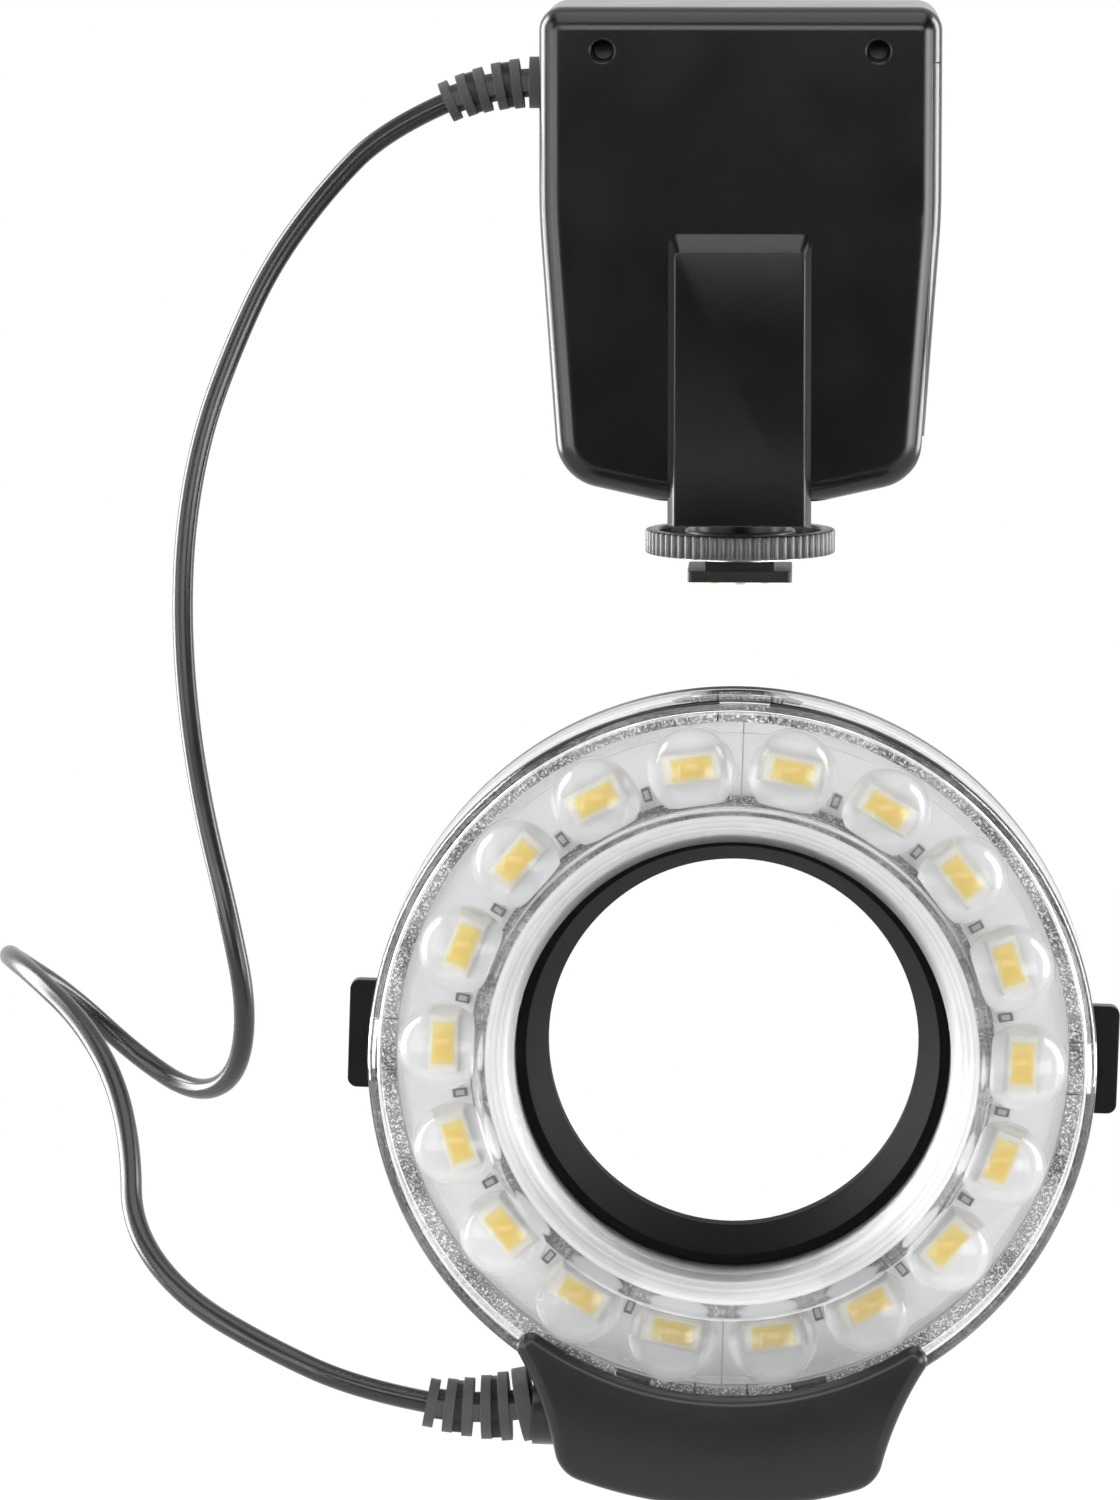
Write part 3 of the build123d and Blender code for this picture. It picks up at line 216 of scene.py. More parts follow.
class Shader:
    """A material's node tree, with short calls to add and join nodes."""

    def __init__(self, tree):
        self.tree = tree
        tree.nodes.clear()

    def add(self, kind, settings=None, **inputs):
        """Adds a node. settings are its properties, inputs its sockets' values or links."""
        node = self.tree.nodes.new("ShaderNode" + kind)
        for key, value in (settings or {}).items():
            setattr(node, key, value)
        for key, value in inputs.items():
            self.feed(node, key.replace("_", " "), value)
        return node

    def feed(self, node, name, value):
        socket = node.inputs[int(name)] if name.isdigit() else node.inputs[name]
        if isinstance(value, bpy.types.NodeSocket):
            self.tree.links.new(value, socket)
        else:
            socket.default_value = value

    def math(self, operation, first, second=0.0):
        node = self.tree.nodes.new("ShaderNodeMath")
        node.operation = operation
        self.feed(node, "0", first)
        self.feed(node, "1", second)
        return node.outputs[0]

    def mix(self, share, first, second):
        """A colour between two others."""
        node = self.tree.nodes.new("ShaderNodeMix")
        node.data_type = "RGBA"
        self.feed(node, "0", share)
        self.feed(node, "6", first)
        self.feed(node, "7", second)
        return node.outputs[2]

    def span(self, value, low, high, start=0.0, end=1.0):
        """Maps start..end to low..high."""
        node = self.tree.nodes.new("ShaderNodeMapRange")
        self.feed(node, "0", value)
        self.feed(node, "1", start)
        self.feed(node, "2", end)
        self.feed(node, "3", low)
        self.feed(node, "4", high)
        return node.outputs[0]

    def steps(self, value, *stops):
        """A ramp of (place, grey) stops."""
        node = self.tree.nodes.new("ShaderNodeValToRGB")
        ramp = node.color_ramp
        while len(ramp.elements) < len(stops):
            ramp.elements.new(1.0)
        for element, (place, grey) in zip(ramp.elements, stops):
            element.position = place
            element.color = (grey, grey, grey, 1)
        self.feed(node, "0", value)
        return node.outputs[0]

    def show_blend(self, share, first, second):
        """Shows a blend of two shaders at the output."""
        both = self.add("MixShader", None, **{"0": share, "1": first.outputs[0], "2": second.outputs[0]})
        out = next(node for node in self.tree.nodes if node.type.startswith("OUTPUT"))
        self.tree.links.new(both.outputs[0], out.inputs[0])


def group(name, inputs, outputs):
    """A new node group with these named sockets: its shader, its input sockets and its output node."""
    tree = bpy.data.node_groups.new(name, "ShaderNodeTree")
    for socket, default in inputs.items():
        item = tree.interface.new_socket(socket, in_out="INPUT", socket_type="NodeSocketFloat")
        item.default_value = default
    for socket, kind in outputs.items():
        tree.interface.new_socket(socket, in_out="OUTPUT", socket_type=kind)
    shader = Shader(tree)
    given = tree.nodes.new("NodeGroupInput")
    result = tree.nodes.new("NodeGroupOutput")
    return tree, shader, given.outputs, result


def moulded_grain():
    """The fine texture of moulded plastic: a height, and a slow drift over the surface."""
    tree, s, given, result = group(
        "moulded grain",
        {"Grain size": 0.0002, "Drift size": 0.02},
        {"Height": "NodeSocketFloat", "Drift": "NodeSocketFloat"},
    )
    place = s.add("TexCoord").outputs["Object"]
    fine = s.math("DIVIDE", 1.0, given["Grain size"])
    slow = s.math("DIVIDE", 1.0, given["Drift size"])
    pits = s.add("TexVoronoi", {"feature": "SMOOTH_F1"}, Vector=place, Scale=fine, Smoothness=0.6)
    soft = s.add("TexNoise", None, Vector=place, Scale=fine, Detail=3.0, Roughness=0.6)
    height = s.math("ADD", pits.outputs["Distance"], soft.outputs["Fac"])
    drift = s.add("TexNoise", None, Vector=place, Scale=slow, Detail=4.0, Roughness=0.55)
    s.feed(result, "Height", height)
    s.feed(result, "Drift", drift.outputs["Fac"])
    return tree


def worn_edges():
    """Rounded edges as a normal, and a mask that is 1 on them, where handling has polished them."""
    tree, s, given, result = group(
        "worn edges",
        {"Width": 0.0004, "Patchiness": 0.5},
        {"Mask": "NodeSocketFloat", "Normal": "NodeSocketVector"},
    )
    rounded = s.add("Bevel", {"samples": 6}, Radius=given["Width"]).outputs["Normal"]
    flat = s.add("NewGeometry").outputs["Normal"]
    facing = s.add("VectorMath", {"operation": "DOT_PRODUCT"}, **{"0": rounded, "1": flat})
    edge = s.math("SUBTRACT", 1.0, facing.outputs["Value"])
    edge = s.math("MULTIPLY", edge, 6.0)
    place = s.add("TexCoord").outputs["Object"]
    patches = s.add("TexNoise", None, Vector=place, Scale=260.0, Detail=4.0).outputs["Fac"]
    keep = s.span(patches, 1.0, s.math("SUBTRACT", 1.0, given["Patchiness"]))
    mask = s.math("MINIMUM", s.math("MULTIPLY", edge, keep), 1.0)
    s.feed(result, "Mask", mask)
    s.feed(result, "Normal", rounded)
    return tree


def fine_dust():
    """Sparse pale specks, as a mask."""
    tree, s, given, result = group(
        "fine dust", {"Speck size": 0.0005, "Amount": 0.2}, {"Mask": "NodeSocketFloat"}
    )
    place = s.add("TexCoord").outputs["Object"]
    scale = s.math("DIVIDE", 1.0, given["Speck size"])
    cells = s.add("TexVoronoi", None, Vector=place, Scale=scale)
    near_centre = s.math("LESS_THAN", cells.outputs["Distance"], 0.16)
    pick = s.add("SeparateColor", None, Color=cells.outputs["Color"]).outputs[0]
    chosen = s.math("LESS_THAN", pick, s.math("MULTIPLY", given["Amount"], 0.1))
    s.feed(result, "Mask", s.math("MULTIPLY", near_centre, chosen))
    return tree


def turning_lines():
    """Fine rings about the lens axis, left by turning: their height, and the angle about the axis."""
    tree, s, given, result = group(
        "turning lines", {"Pitch": 0.0003}, {"Height": "NodeSocketFloat", "Angle": "NodeSocketFloat"}
    )
    place = s.add("TexCoord").outputs["Object"]
    parts = s.add("SeparateXYZ", None, Vector=place)
    across = parts.outputs["X"]
    up = s.math("SUBTRACT", parts.outputs["Z"], ring_z)
    square = s.math("ADD", s.math("POWER", across, 2.0), s.math("POWER", up, 2.0))
    radius = s.math("ADD", s.math("SQRT", square), parts.outputs["Y"])
    turn = s.math("DIVIDE", s.math("MULTIPLY", radius, math.tau), given["Pitch"])
    s.feed(result, "Height", s.math("SINE", turn))
    s.feed(result, "Angle", s.math("ARCTAN2", up, across))
    return tree


# Effects that several finishes share
groups = {
    "grain": moulded_grain(),
    "edges": worn_edges(),
    "dust": fine_dust(),
    "lines": turning_lines(),
}


def material(name):
    """An empty material with its Principled shader, ready to be fed."""
    made = bpy.data.materials.new(name)
    made.use_nodes = True
    s = Shader(made.node_tree)
    out = s.add("OutputMaterial")
    shader = s.add("BsdfPrincipled")
    made.node_tree.links.new(shader.outputs[0], out.inputs[0])
    return made, s, shader


def place_group(s, name, **inputs):
    """Adds a shared effect by its short name and gives its outputs."""
    node = s.tree.nodes.new("ShaderNodeGroup")
    node.node_tree = groups[name]
    for key, value in inputs.items():
        s.feed(node, key.replace("_", " "), value)
    return node.outputs


def bump(s, shader, height, strength, distance, normal=None):
    """Feeds a height to the shader as its relief."""
    node = s.add("Bump", None, Strength=strength, Distance=distance, Height=height)
    if normal:
        s.feed(node, "Normal", normal)
    s.feed(shader, "Normal", node.outputs[0])


def colour(red, green=None, blue=None):
    """A colour from its parts, or a grey from one."""
    return (red, red if green is None else green, red if blue is None else blue, 1.0)


def moulded_plastic(name, base, polished, roughness, grain_size, relief, wear=0.35, specular=0.35):
    """Moulded plastic: grain, a slow drift of its gloss, polished edges and a little dust."""
    made, s, shader = material(name)
    shader.inputs["Specular IOR Level"].default_value = specular
    grain = place_group(s, "grain", Grain_size=grain_size, Drift_size=0.018)
    edges = place_group(s, "edges", Width=0.00035, Patchiness=0.4)
    edge = edges["Mask"]
    dust = place_group(s, "dust", Speck_size=0.0016, Amount=0.2)["Mask"]
    drifted = s.mix(s.math("MULTIPLY", grain["Drift"], 0.5), base, polished)
    shade = s.mix(s.math("MULTIPLY", edge, wear), drifted, polished)
    shade = s.mix(s.math("MULTIPLY", dust, 0.2), shade, colour(0.04))
    s.feed(shader, "Base Color", shade)
    gloss = s.span(grain["Drift"], roughness - 0.05, roughness + 0.07)
    gloss = s.math("SUBTRACT", gloss, s.math("MULTIPLY", edge, 0.1))
    s.feed(shader, "Roughness", gloss)
    bump(s, shader, grain["Height"], relief, grain_size * 0.35, edges["Normal"])
    return made


def metal(name, tone, roughness):
    """Bare or plated metal with fine lines and slightly uneven gloss."""
    made, s, shader = material(name)
    grain = place_group(s, "grain", Grain_size=0.00012, Drift_size=0.006)
    lines = place_group(s, "lines", Pitch=0.00025)
    darker = tuple(0.72 * part for part in tone[:3]) + (1.0,)
    s.feed(shader, "Base Color", s.mix(grain["Drift"], darker, tone))
    s.feed(shader, "Metallic", 1.0)
    s.feed(shader, "Roughness", s.span(grain["Drift"], roughness - 0.06, roughness + 0.08))
    height = s.math("ADD", s.math("MULTIPLY", lines["Height"], 0.3), grain["Height"])
    bump(s, shader, height, 0.15, 0.00002)
    return made


def cord_sheath_finish():
    """Satin cable sheath, with the faint lengthwise drag of its extrusion."""
    made, s, shader = material("cord sheath")
    grain = place_group(s, "grain", Grain_size=0.00025, Drift_size=0.01)
    dust = place_group(s, "dust", Speck_size=0.0012, Amount=0.3)["Mask"]
    base = s.mix(grain["Drift"], colour(0.012), colour(0.026, 0.026, 0.028))
    s.feed(shader, "Base Color", s.mix(s.math("MULTIPLY", dust, 0.2), base, colour(0.1)))
    s.feed(shader, "Roughness", s.span(grain["Drift"], 0.2, 0.28))
    bump(s, shader, grain["Height"], 0.06, 0.00006)
    return made


def relief_rubber():
    """Matt rubber of the strain reliefs."""
    made, s, shader = material("relief rubber")
    grain = place_group(s, "grain", Grain_size=0.0002, Drift_size=0.006)
    edges = place_group(s, "edges", Width=0.0003, Patchiness=0.5)
    base = s.mix(grain["Drift"], colour(0.035), colour(0.06, 0.06, 0.062))
    s.feed(shader, "Base Color", s.mix(s.math("MULTIPLY", edges["Mask"], 0.5), base, colour(0.12)))
    s.feed(shader, "Roughness", s.span(grain["Drift"], 0.5, 0.66))
    bump(s, shader, grain["Height"], 0.3, 0.00008, edges["Normal"])
    return made


def let_lamps_through(s, shader, tint):
    """Lets the lamps and soft light pass through a clear piece without bending."""
    path = s.add("LightPath").outputs
    passing = s.math("MAXIMUM", path["Is Shadow Ray"], path["Is Diffuse Ray"])
    s.show_blend(passing, shader, s.add("BsdfTransparent", None, Color=tint))


def ring_radii(s):
    """The distance of a point from the lens axis."""
    parts = s.add("SeparateXYZ", None, Vector=s.add("TexCoord").outputs["Object"])
    up = s.math("SUBTRACT", parts.outputs["Z"], ring_z)
    square = s.math("ADD", s.math("POWER", parts.outputs["X"], 2.0), s.math("POWER", up, 2.0))
    return s.math("SQRT", square)


def clear_plastic():
    """The clear cover: hardly tinted, with faint moulding streaks, and frosted on its cone."""
    made, s, shader = material("clear plastic")
    grain = place_group(s, "grain", Grain_size=0.0012, Drift_size=0.03)
    s.feed(shader, "Base Color", s.mix(grain["Drift"], colour(0.97, 0.975, 0.98), colour(0.995)))
    radius = ring_radii(s)
    cone_top = bore_radius + cover_cone
    cone_frost = s.span(radius, 0.1, 0.0, cone_top, cone_top + cover_wall)
    bore_frost = s.span(radius, 0.45, 0.0, bore_radius + cover_wall, bore_radius + 1.5 * cover_wall)
    frost = s.math("MAXIMUM", cone_frost, bore_frost)
    s.feed(shader, "Roughness", s.math("ADD", s.span(grain["Drift"], 0.005, 0.03), frost))
    shader.inputs["IOR"].default_value = 1.49
    shader.inputs["Transmission Weight"].default_value = 1.0
    bump(s, shader, grain["Drift"], 0.08, 0.0003)
    let_lamps_through(s, shader, colour(0.96))
    return made


def milky_plastic():
    """The lens plate: cloudy plastic that blurs and veils what lies behind it."""
    made, s, shader = material("milky plastic")
    grain = place_group(s, "grain", Grain_size=0.0008, Drift_size=0.01)
    s.feed(shader, "Base Color", s.mix(grain["Drift"], colour(0.93, 0.93, 0.94), colour(0.97, 0.97, 0.975)))
    s.feed(shader, "Roughness", s.span(grain["Drift"], 0.14, 0.2))
    shader.inputs["IOR"].default_value = 1.45
    shader.inputs["Transmission Weight"].default_value = 0.98
    let_lamps_through(s, shader, colour(0.97))
    return made


def reflector_finish():
    """The pale cone: frosted, with soft streaks round the lens axis."""
    made, s, shader = material("reflector")
    grain = place_group(s, "grain", Grain_size=0.0003, Drift_size=0.012)
    radius = ring_radii(s)
    along = s.add("CombineXYZ", None, X=s.math("MULTIPLY", radius, 1500.0), Y=grain["Drift"])
    bands = s.add("TexNoise", None, Vector=along.outputs[0], Scale=1.0, Detail=3.0).outputs["Fac"]
    pale = s.span(bands, 0.0, 1.0, 0.3, 0.66)
    s.feed(shader, "Base Color", s.mix(pale, colour(0.46, 0.46, 0.465), colour(0.76, 0.76, 0.765)))
    s.feed(shader, "Roughness", s.span(grain["Drift"], 0.3, 0.5))
    bump(s, shader, s.math("ADD", s.math("MULTIPLY", bands, 2.0), grain["Height"]), 0.25, 0.0001)
    return made


def frosted_painted_sparkle():
    """The chassis: crushed facets of random grey whose palest cells are painted glints, painted shade darkening it
    beside each light, and pale streaks on its sides whose paleness is partly painted light.
    """
    made, s, shader = material("frosted sparkle")
    place = s.add("TexCoord").outputs["Object"]
    facets = s.add("TexVoronoi", None, Vector=place, Scale=4200.0)
    lines = place_group(s, "lines", Pitch=0.0016)
    pick = s.add("SeparateColor", None, Color=facets.outputs["Color"]).outputs[0]
    # Painted glints: facets of random grey, the palest of them painted highlights in the base colour.
    painted_glint = s.steps(pick, (0.0, 0.02), (0.45, 0.12), (0.75, 0.45), (0.95, 1.0))
    # Painted shade: the chassis grey darkens at each light's angle, beside the domes.
    turn = s.math("SUBTRACT", lines["Angle"], ring_roll + math.pi / 2 + math.pi / led_count)
    beside = s.span(s.math("COSINE", s.math("MULTIPLY", turn, led_count)), 0.0, 0.95, -0.2, 0.9)
    dark = s.mix(beside, colour(0.36, 0.36, 0.365), colour(0.03))
    front = s.mix(0.6, dark, painted_glint)
    # Streaks round the side faces, paler than the front: the streaks are the part's own, and their paleness is
    # partly painted light on all sides.
    drawn_out = s.add("Mapping", None, Vector=place, Scale=(20, 1800, 20))
    turned = s.add("TexNoise", None, Vector=drawn_out.outputs[0])
    streaks = s.span(turned.outputs["Fac"], 0.28, 0.6, 0.35, 0.65)
    side = s.add("CombineColor", None, Red=streaks, Green=streaks, Blue=streaks).outputs[0]
    facing = s.add("SeparateXYZ", None, Vector=s.add("TexCoord").outputs["Normal"]).outputs["Y"]
    towards = s.math("GREATER_THAN", s.math("ABSOLUTE", facing), 0.5)
    s.feed(shader, "Base Color", s.mix(towards, side, front))
    s.feed(shader, "Metallic", s.math("MULTIPLY", towards, 0.4))
    s.feed(shader, "Roughness", s.span(pick, 0.3, 0.6))
    bump(s, shader, facets.outputs["Distance"], 0.3, 0.0002)
    return made


def board_white():
    """White solder mask with hardly visible copper below."""
    made, s, shader = material("white board")
    grain = place_group(s, "grain", Grain_size=0.0004, Drift_size=0.008)
    tracks = s.add("TexBrick", None, Vector=s.add("TexCoord").outputs["Object"], Scale=160.0)
    faint = s.math("MULTIPLY", tracks.outputs["Fac"], 0.25)
    base = s.mix(grain["Drift"], colour(0.84, 0.84, 0.85), colour(0.9, 0.9, 0.905))
    s.feed(shader, "Base Color", s.mix(faint, base, colour(0.78, 0.78, 0.79)))
    s.feed(shader, "Roughness", s.span(grain["Drift"], 0.3, 0.42))
    bump(s, shader, grain["Height"], 0.1, 0.00005)
    return made


def board_green():
    """Green solder mask over its copper."""
    made, s, shader = material("green board")
    grain = place_group(s, "grain", Grain_size=0.0005, Drift_size=0.01)
    tracks = s.add("TexBrick", None, Vector=s.add("TexCoord").outputs["Object"], Scale=140.0)
    base = s.mix(grain["Drift"], colour(0.015, 0.09, 0.035), colour(0.03, 0.14, 0.055))
    s.feed(shader, "Base Color", s.mix(tracks.outputs["Fac"], base, colour(0.06, 0.22, 0.09)))
    s.feed(shader, "Roughness", s.span(grain["Drift"], 0.28, 0.4))
    bump(s, shader, tracks.outputs["Fac"], 0.3, 0.00004)
    return made


def from_middle(s, power):
    """How far a point lies from the middle of its small face, 0 to 1, by the face's own map."""
    parts = s.add("SeparateXYZ", None, Vector=s.add("TexCoord").outputs["UV"])
    across = s.math("ABSOLUTE", s.math("SUBTRACT", parts.outputs["X"], 0.5))
    along = s.math("ABSOLUTE", s.math("SUBTRACT", parts.outputs["Y"], 0.5))
    return s.math("POWER", s.math("MULTIPLY", s.math("MAXIMUM", across, along), 2.0), power)


def phosphor():
    """Yellow silicone over the light's die, deeper in the middle."""
    made, s, shader = material("phosphor")
    grain = place_group(s, "grain", Grain_size=0.0003, Drift_size=0.0016)
    deep = s.mix(grain["Drift"], colour(0.9, 0.56, 0.003), colour(0.92, 0.62, 0.012))
    edge = s.mix(grain["Drift"], colour(0.92, 0.72, 0.12), colour(0.94, 0.78, 0.2))
    s.feed(shader, "Base Color", s.mix(from_middle(s, 2.5), deep, edge))
    s.feed(shader, "Roughness", s.span(grain["Drift"], 0.3, 0.5))
    bump(s, shader, grain["Height"], 0.2, 0.00005)
    return made


def resistor_finish():
    """A chip resistor: a grey face with dark borders."""
    made, s, shader = material("resistor")
    grain = place_group(s, "grain", Grain_size=0.0002, Drift_size=0.002)
    border = s.math("GREATER_THAN", from_middle(s, 1.0), 0.6)
    middle = s.mix(grain["Drift"], colour(0.3), colour(0.5))
    s.feed(shader, "Base Color", s.mix(border, middle, colour(0.035, 0.035, 0.033)))
    s.feed(shader, "Roughness", s.span(grain["Drift"], 0.3, 0.5))
    bump(s, shader, grain["Height"], 0.2, 0.00005)
    return made


def ceramic_body(name, low, high):
    """Small moulded bodies of electronic parts."""
    made, s, shader = material(name)
    grain = place_group(s, "grain", Grain_size=0.00015, Drift_size=0.003)
    s.feed(shader, "Base Color", s.mix(grain["Drift"], low, high))
    s.feed(shader, "Roughness", s.span(grain["Drift"], 0.4, 0.6))
    bump(s, shader, grain["Height"], 0.2, 0.00005)
    return made


def window_plastic():
    """Dark tinted display window."""
    made, s, shader = material("display window")
    grain = place_group(s, "grain", Grain_size=0.001, Drift_size=0.02)
    s.feed(shader, "Base Color", s.mix(grain["Drift"], colour(0.3, 0.33, 0.34), colour(0.36, 0.38, 0.39)))
    s.feed(shader, "Roughness", s.span(grain["Drift"], 0.02, 0.07))
    shader.inputs["IOR"].default_value = 1.49
    shader.inputs["Transmission Weight"].default_value = 1.0
    return made


# The finish of each material slot of the model. The plastics give their colour, their polished colour,
# and then their roughness, grain size and relief.
finishes = {
    "case_black": moulded_plastic(
        "case black", colour(0.003, 0.0034, 0.0036), colour(0.007), 0.21, 0.0002, 0.1, specular=0.5
    ),
    "housing_black": moulded_plastic(
        "housing black", colour(0.006, 0.006, 0.0062), colour(0.012), 0.3, 0.0002, 0.1, specular=0.5
    ),
    "slider_black": moulded_plastic(
        "slider black", colour(0.002), colour(0.006), 0.33, 0.00025, 0.15, specular=0.22
    ),
    "adapter_black": moulded_plastic(
        "adapter black", colour(0.002), colour(0.005), 0.6, 0.00015, 0.1, wear=0.2, specular=0.06
    ),
    "key_grey": moulded_plastic("key grey", colour(0.1, 0.1, 0.105), colour(0.16), 0.55, 0.00018, 0.3),
    "display_window": window_plastic(),
    "display_glass": ceramic_body("display", colour(0.2, 0.24, 0.21), colour(0.26, 0.3, 0.26)),
    "wheel_grey": moulded_plastic(
        "wheel grey", colour(0.05, 0.05, 0.052), colour(0.16), 0.28, 0.00016, 0.2, wear=0.6, specular=0.5
    ),
    "foot_black": moulded_plastic("foot black", colour(0.006), colour(0.03), 0.36, 0.0002, 0.2, wear=0.6),
    "clamp_steel": metal("clamp steel", colour(0.62, 0.62, 0.64), 0.3),
    "pin_metal": metal("pin metal", colour(0.83, 0.62, 0.28), 0.22),
    "screw_black": metal("screw black", colour(0.06, 0.06, 0.062), 0.38),
    "relief_rubber": relief_rubber(),
    "cord_black": cord_sheath_finish(),
    "clear_cover": clear_plastic(),
    "lens_white": milky_plastic(),
    "led_board_white": board_white(),
    "led_package": ceramic_body("light package", colour(0.82, 0.8, 0.7), colour(0.9, 0.88, 0.8)),
    "led_phosphor": phosphor(),
    "resistor": resistor_finish(),
    "reflector_pale": reflector_finish(),
    "chip_dark": ceramic_body("chip", colour(0.05), colour(0.1)),
    "chassis_grey": frosted_painted_sparkle(),
    "board_green": board_green(),
    "capacitor_can": metal("capacitor can", colour(0.7, 0.7, 0.72), 0.28),
    "ferrite": ceramic_body("ferrite", colour(0.04), colour(0.07)),
    "cell_wrap": ceramic_body("cell wrap", colour(0.16, 0.18, 0.22), colour(0.22, 0.24, 0.28)),
    "contact_steel": metal("contact steel", colour(0.7, 0.7, 0.71), 0.3),
    "holder_black": moulded_plastic("holder black", colour(0.02), colour(0.03), 0.55, 0.0003, 0.3),
    "connector_white": ceramic_body("connector", colour(0.75, 0.74, 0.7), colour(0.82, 0.81, 0.77)),
}


def finish_cad_nodes():
    """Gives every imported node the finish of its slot."""
    for part in frame["record"]["subparts"]:
        node = frame["nodes"][part["node"]]
        node.data.materials.clear()
        node.data.materials.append(finishes[part["material_slot"]])


def add_piece(name, bm, node, finish, body="flash", sharp=sharp_degrees):
    """Makes a piece from a bmesh: smooth but for its sharp edges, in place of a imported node."""
    bmesh.ops.recalc_face_normals(bm, faces=bm.faces)
    for face in bm.faces:
        face.smooth = True
    for edge in bm.edges:
        edge.smooth = len(edge.link_faces) == 2 and edge.calc_face_angle() < math.radians(sharp)
    mesh = bpy.data.meshes.new(name)
    bm.to_mesh(mesh)
    bm.free()
    mesh.materials.append(finish)
    piece = bpy.data.objects.new(name, mesh)
    bpy.context.scene.collection.objects.link(piece)
    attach(piece, body)
    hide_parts(node)
    return piece


def lathe(profiles, close=True):
    """Joins closed outlines of points, one for each step of a turn, into a ring or a part of one."""
    bm = bmesh.new()
    loops = [[bm.verts.new(point) for point in profile] for profile in profiles]
    following = loops[1:] + loops[:1] if close else loops[1:]
    for first, second in zip(loops, following):
        for k in range(len(first)):
            n = (k + 1) % len(first)
            bm.faces.new((first[k], first[n], second[n], second[k]))
    if not close:
        bm.faces.new(loops[0])
        bm.faces.new(loops[-1])
    return bm


def about_lens(profile):
    """Places of (radius, y) points at each step of a turn about the lens axis."""
    turns = [math.tau * index / round_steps for index in range(round_steps)]
    return [[(r * math.cos(turn), y, r * math.sin(turn)) for r, y in profile] for turn in turns]


def arc(centre, radius, start, end, count=8):
    """Points of an arc between two angles in degrees."""
    angles = [math.radians(start + (end - start) * index / count) for index in range(count + 1)]
    return [(centre[0] + radius * math.cos(a), centre[1] + radius * math.sin(a)) for a in angles]


def cut_windows(bm):
    """Opens the cover's wall where the snap fingers hook in, and joins the edges of each opening."""
    reach = window_width / 2 / ring_radius
    for index in range(window_count):
        middle = math.pi / 2 + index * math.tau / window_count
        cut = set()
        for face in bm.faces:
            place = face.calc_center_median()
            away = (math.atan2(place.z, place.x) - middle + math.pi) % math.tau - math.pi
            outside = math.hypot(place.x, place.z) > ring_radius - 2 * cover_wall
            if outside and window_front_y < place.y < window_back_y and abs(away) < reach:
                cut.add(face)
        rim = [
            edge
            for face in cut
            for edge in face.edges
            if sum(other in cut for other in edge.link_faces) == 1
        ]
        bmesh.ops.delete(bm, geom=list(cut), context="FACES")
        bmesh.ops.bridge_loops(bm, edges=rim)


def add_cover():
    """The clear cover, turned finely so that it bends light smoothly, with its four windows."""
    inner_front = ring_front_y + cover_wall
    cone_top = bore_radius + cover_cone
    cone_end = ring_front_y + cover_cone
    slant = cover_wall / 2
    knee = (cone_top + slant + cover_knee * math.tan(math.pi / 8), inner_front + cover_knee)
    edge = (ring_radius - cover_edge_radius, ring_front_y + cover_edge_radius)
    inner = (ring_radius - cover_wall - cover_corner, inner_front + cover_corner)
    levels = (floor_front_y, window_back_y, window_front_y)
    profile = [(ring_radius, y) for y in levels]
    profile += arc(edge, cover_edge_radius, 0, -90, 14)
    profile += arc(knee, cover_knee + cover_wall, -90, -135)
    profile += [
        (bore_radius, cone_end),
        (bore_radius, bore_back_y),
        (bore_radius + cover_wall, bore_back_y),
        (bore_radius + cover_wall, cone_end + slant),
    ]
    profile += arc(knee, cover_knee, -135, -90)
    profile += arc(inner, cover_corner, -90, 0)
    profile += [(ring_radius - cover_wall, y) for y in reversed(levels)]
    bm = lathe(about_lens(profile))
    cut_windows(bm)
    bm.transform(ring_place)
    add_piece("clear_ring_cover", bm, "ring_cover", finishes["clear_cover"])


def add_pale_cone():
    """The pale cone behind the cover's cone, its lip further back than the tops of the domes."""
    knee_y = ring_front_y + cover_cone + cover_wall / 2 + cone_gap
    lip = cone_inner + cone_reach
    profile = [
        (cone_inner, lens_back_y),
        (cone_inner, knee_y),
        (lip, knee_y - cone_reach),
        (lip + cone_edge, knee_y - cone_reach),
        (cone_inner + cone_wall, knee_y + cone_edge - cone_wall),
        (cone_inner + cone_wall, lens_back_y),
    ]
    bm = lathe(about_lens(profile))
    bm.transform(ring_place)
    add_piece("pale_cone", bm, "reflector", finishes["reflector_pale"])


def scalloped(angle, outward):
    """Radius of the lens plate's wavy outline at an angle: the outer one, or the inner one."""
    pitch = math.tau / led_count
    offset = (angle - math.pi / 2) % pitch - pitch / 2
    across = led_circle_radius * math.sin(offset)
    if abs(across) >= scallop_radius:
        return lens_outer if outward else lens_inner
    reach = math.sqrt(scallop_radius**2 - across**2)
    along = led_circle_radius * math.cos(offset)
    return max(lens_outer, along + reach) if outward else min(lens_inner, along - reach)


def led_angles():
    """Angles of the lights, with the top between two of them."""
    pitch = math.tau / led_count
    return [math.pi / 2 - pitch / 2 - index * pitch for index in range(led_count)]


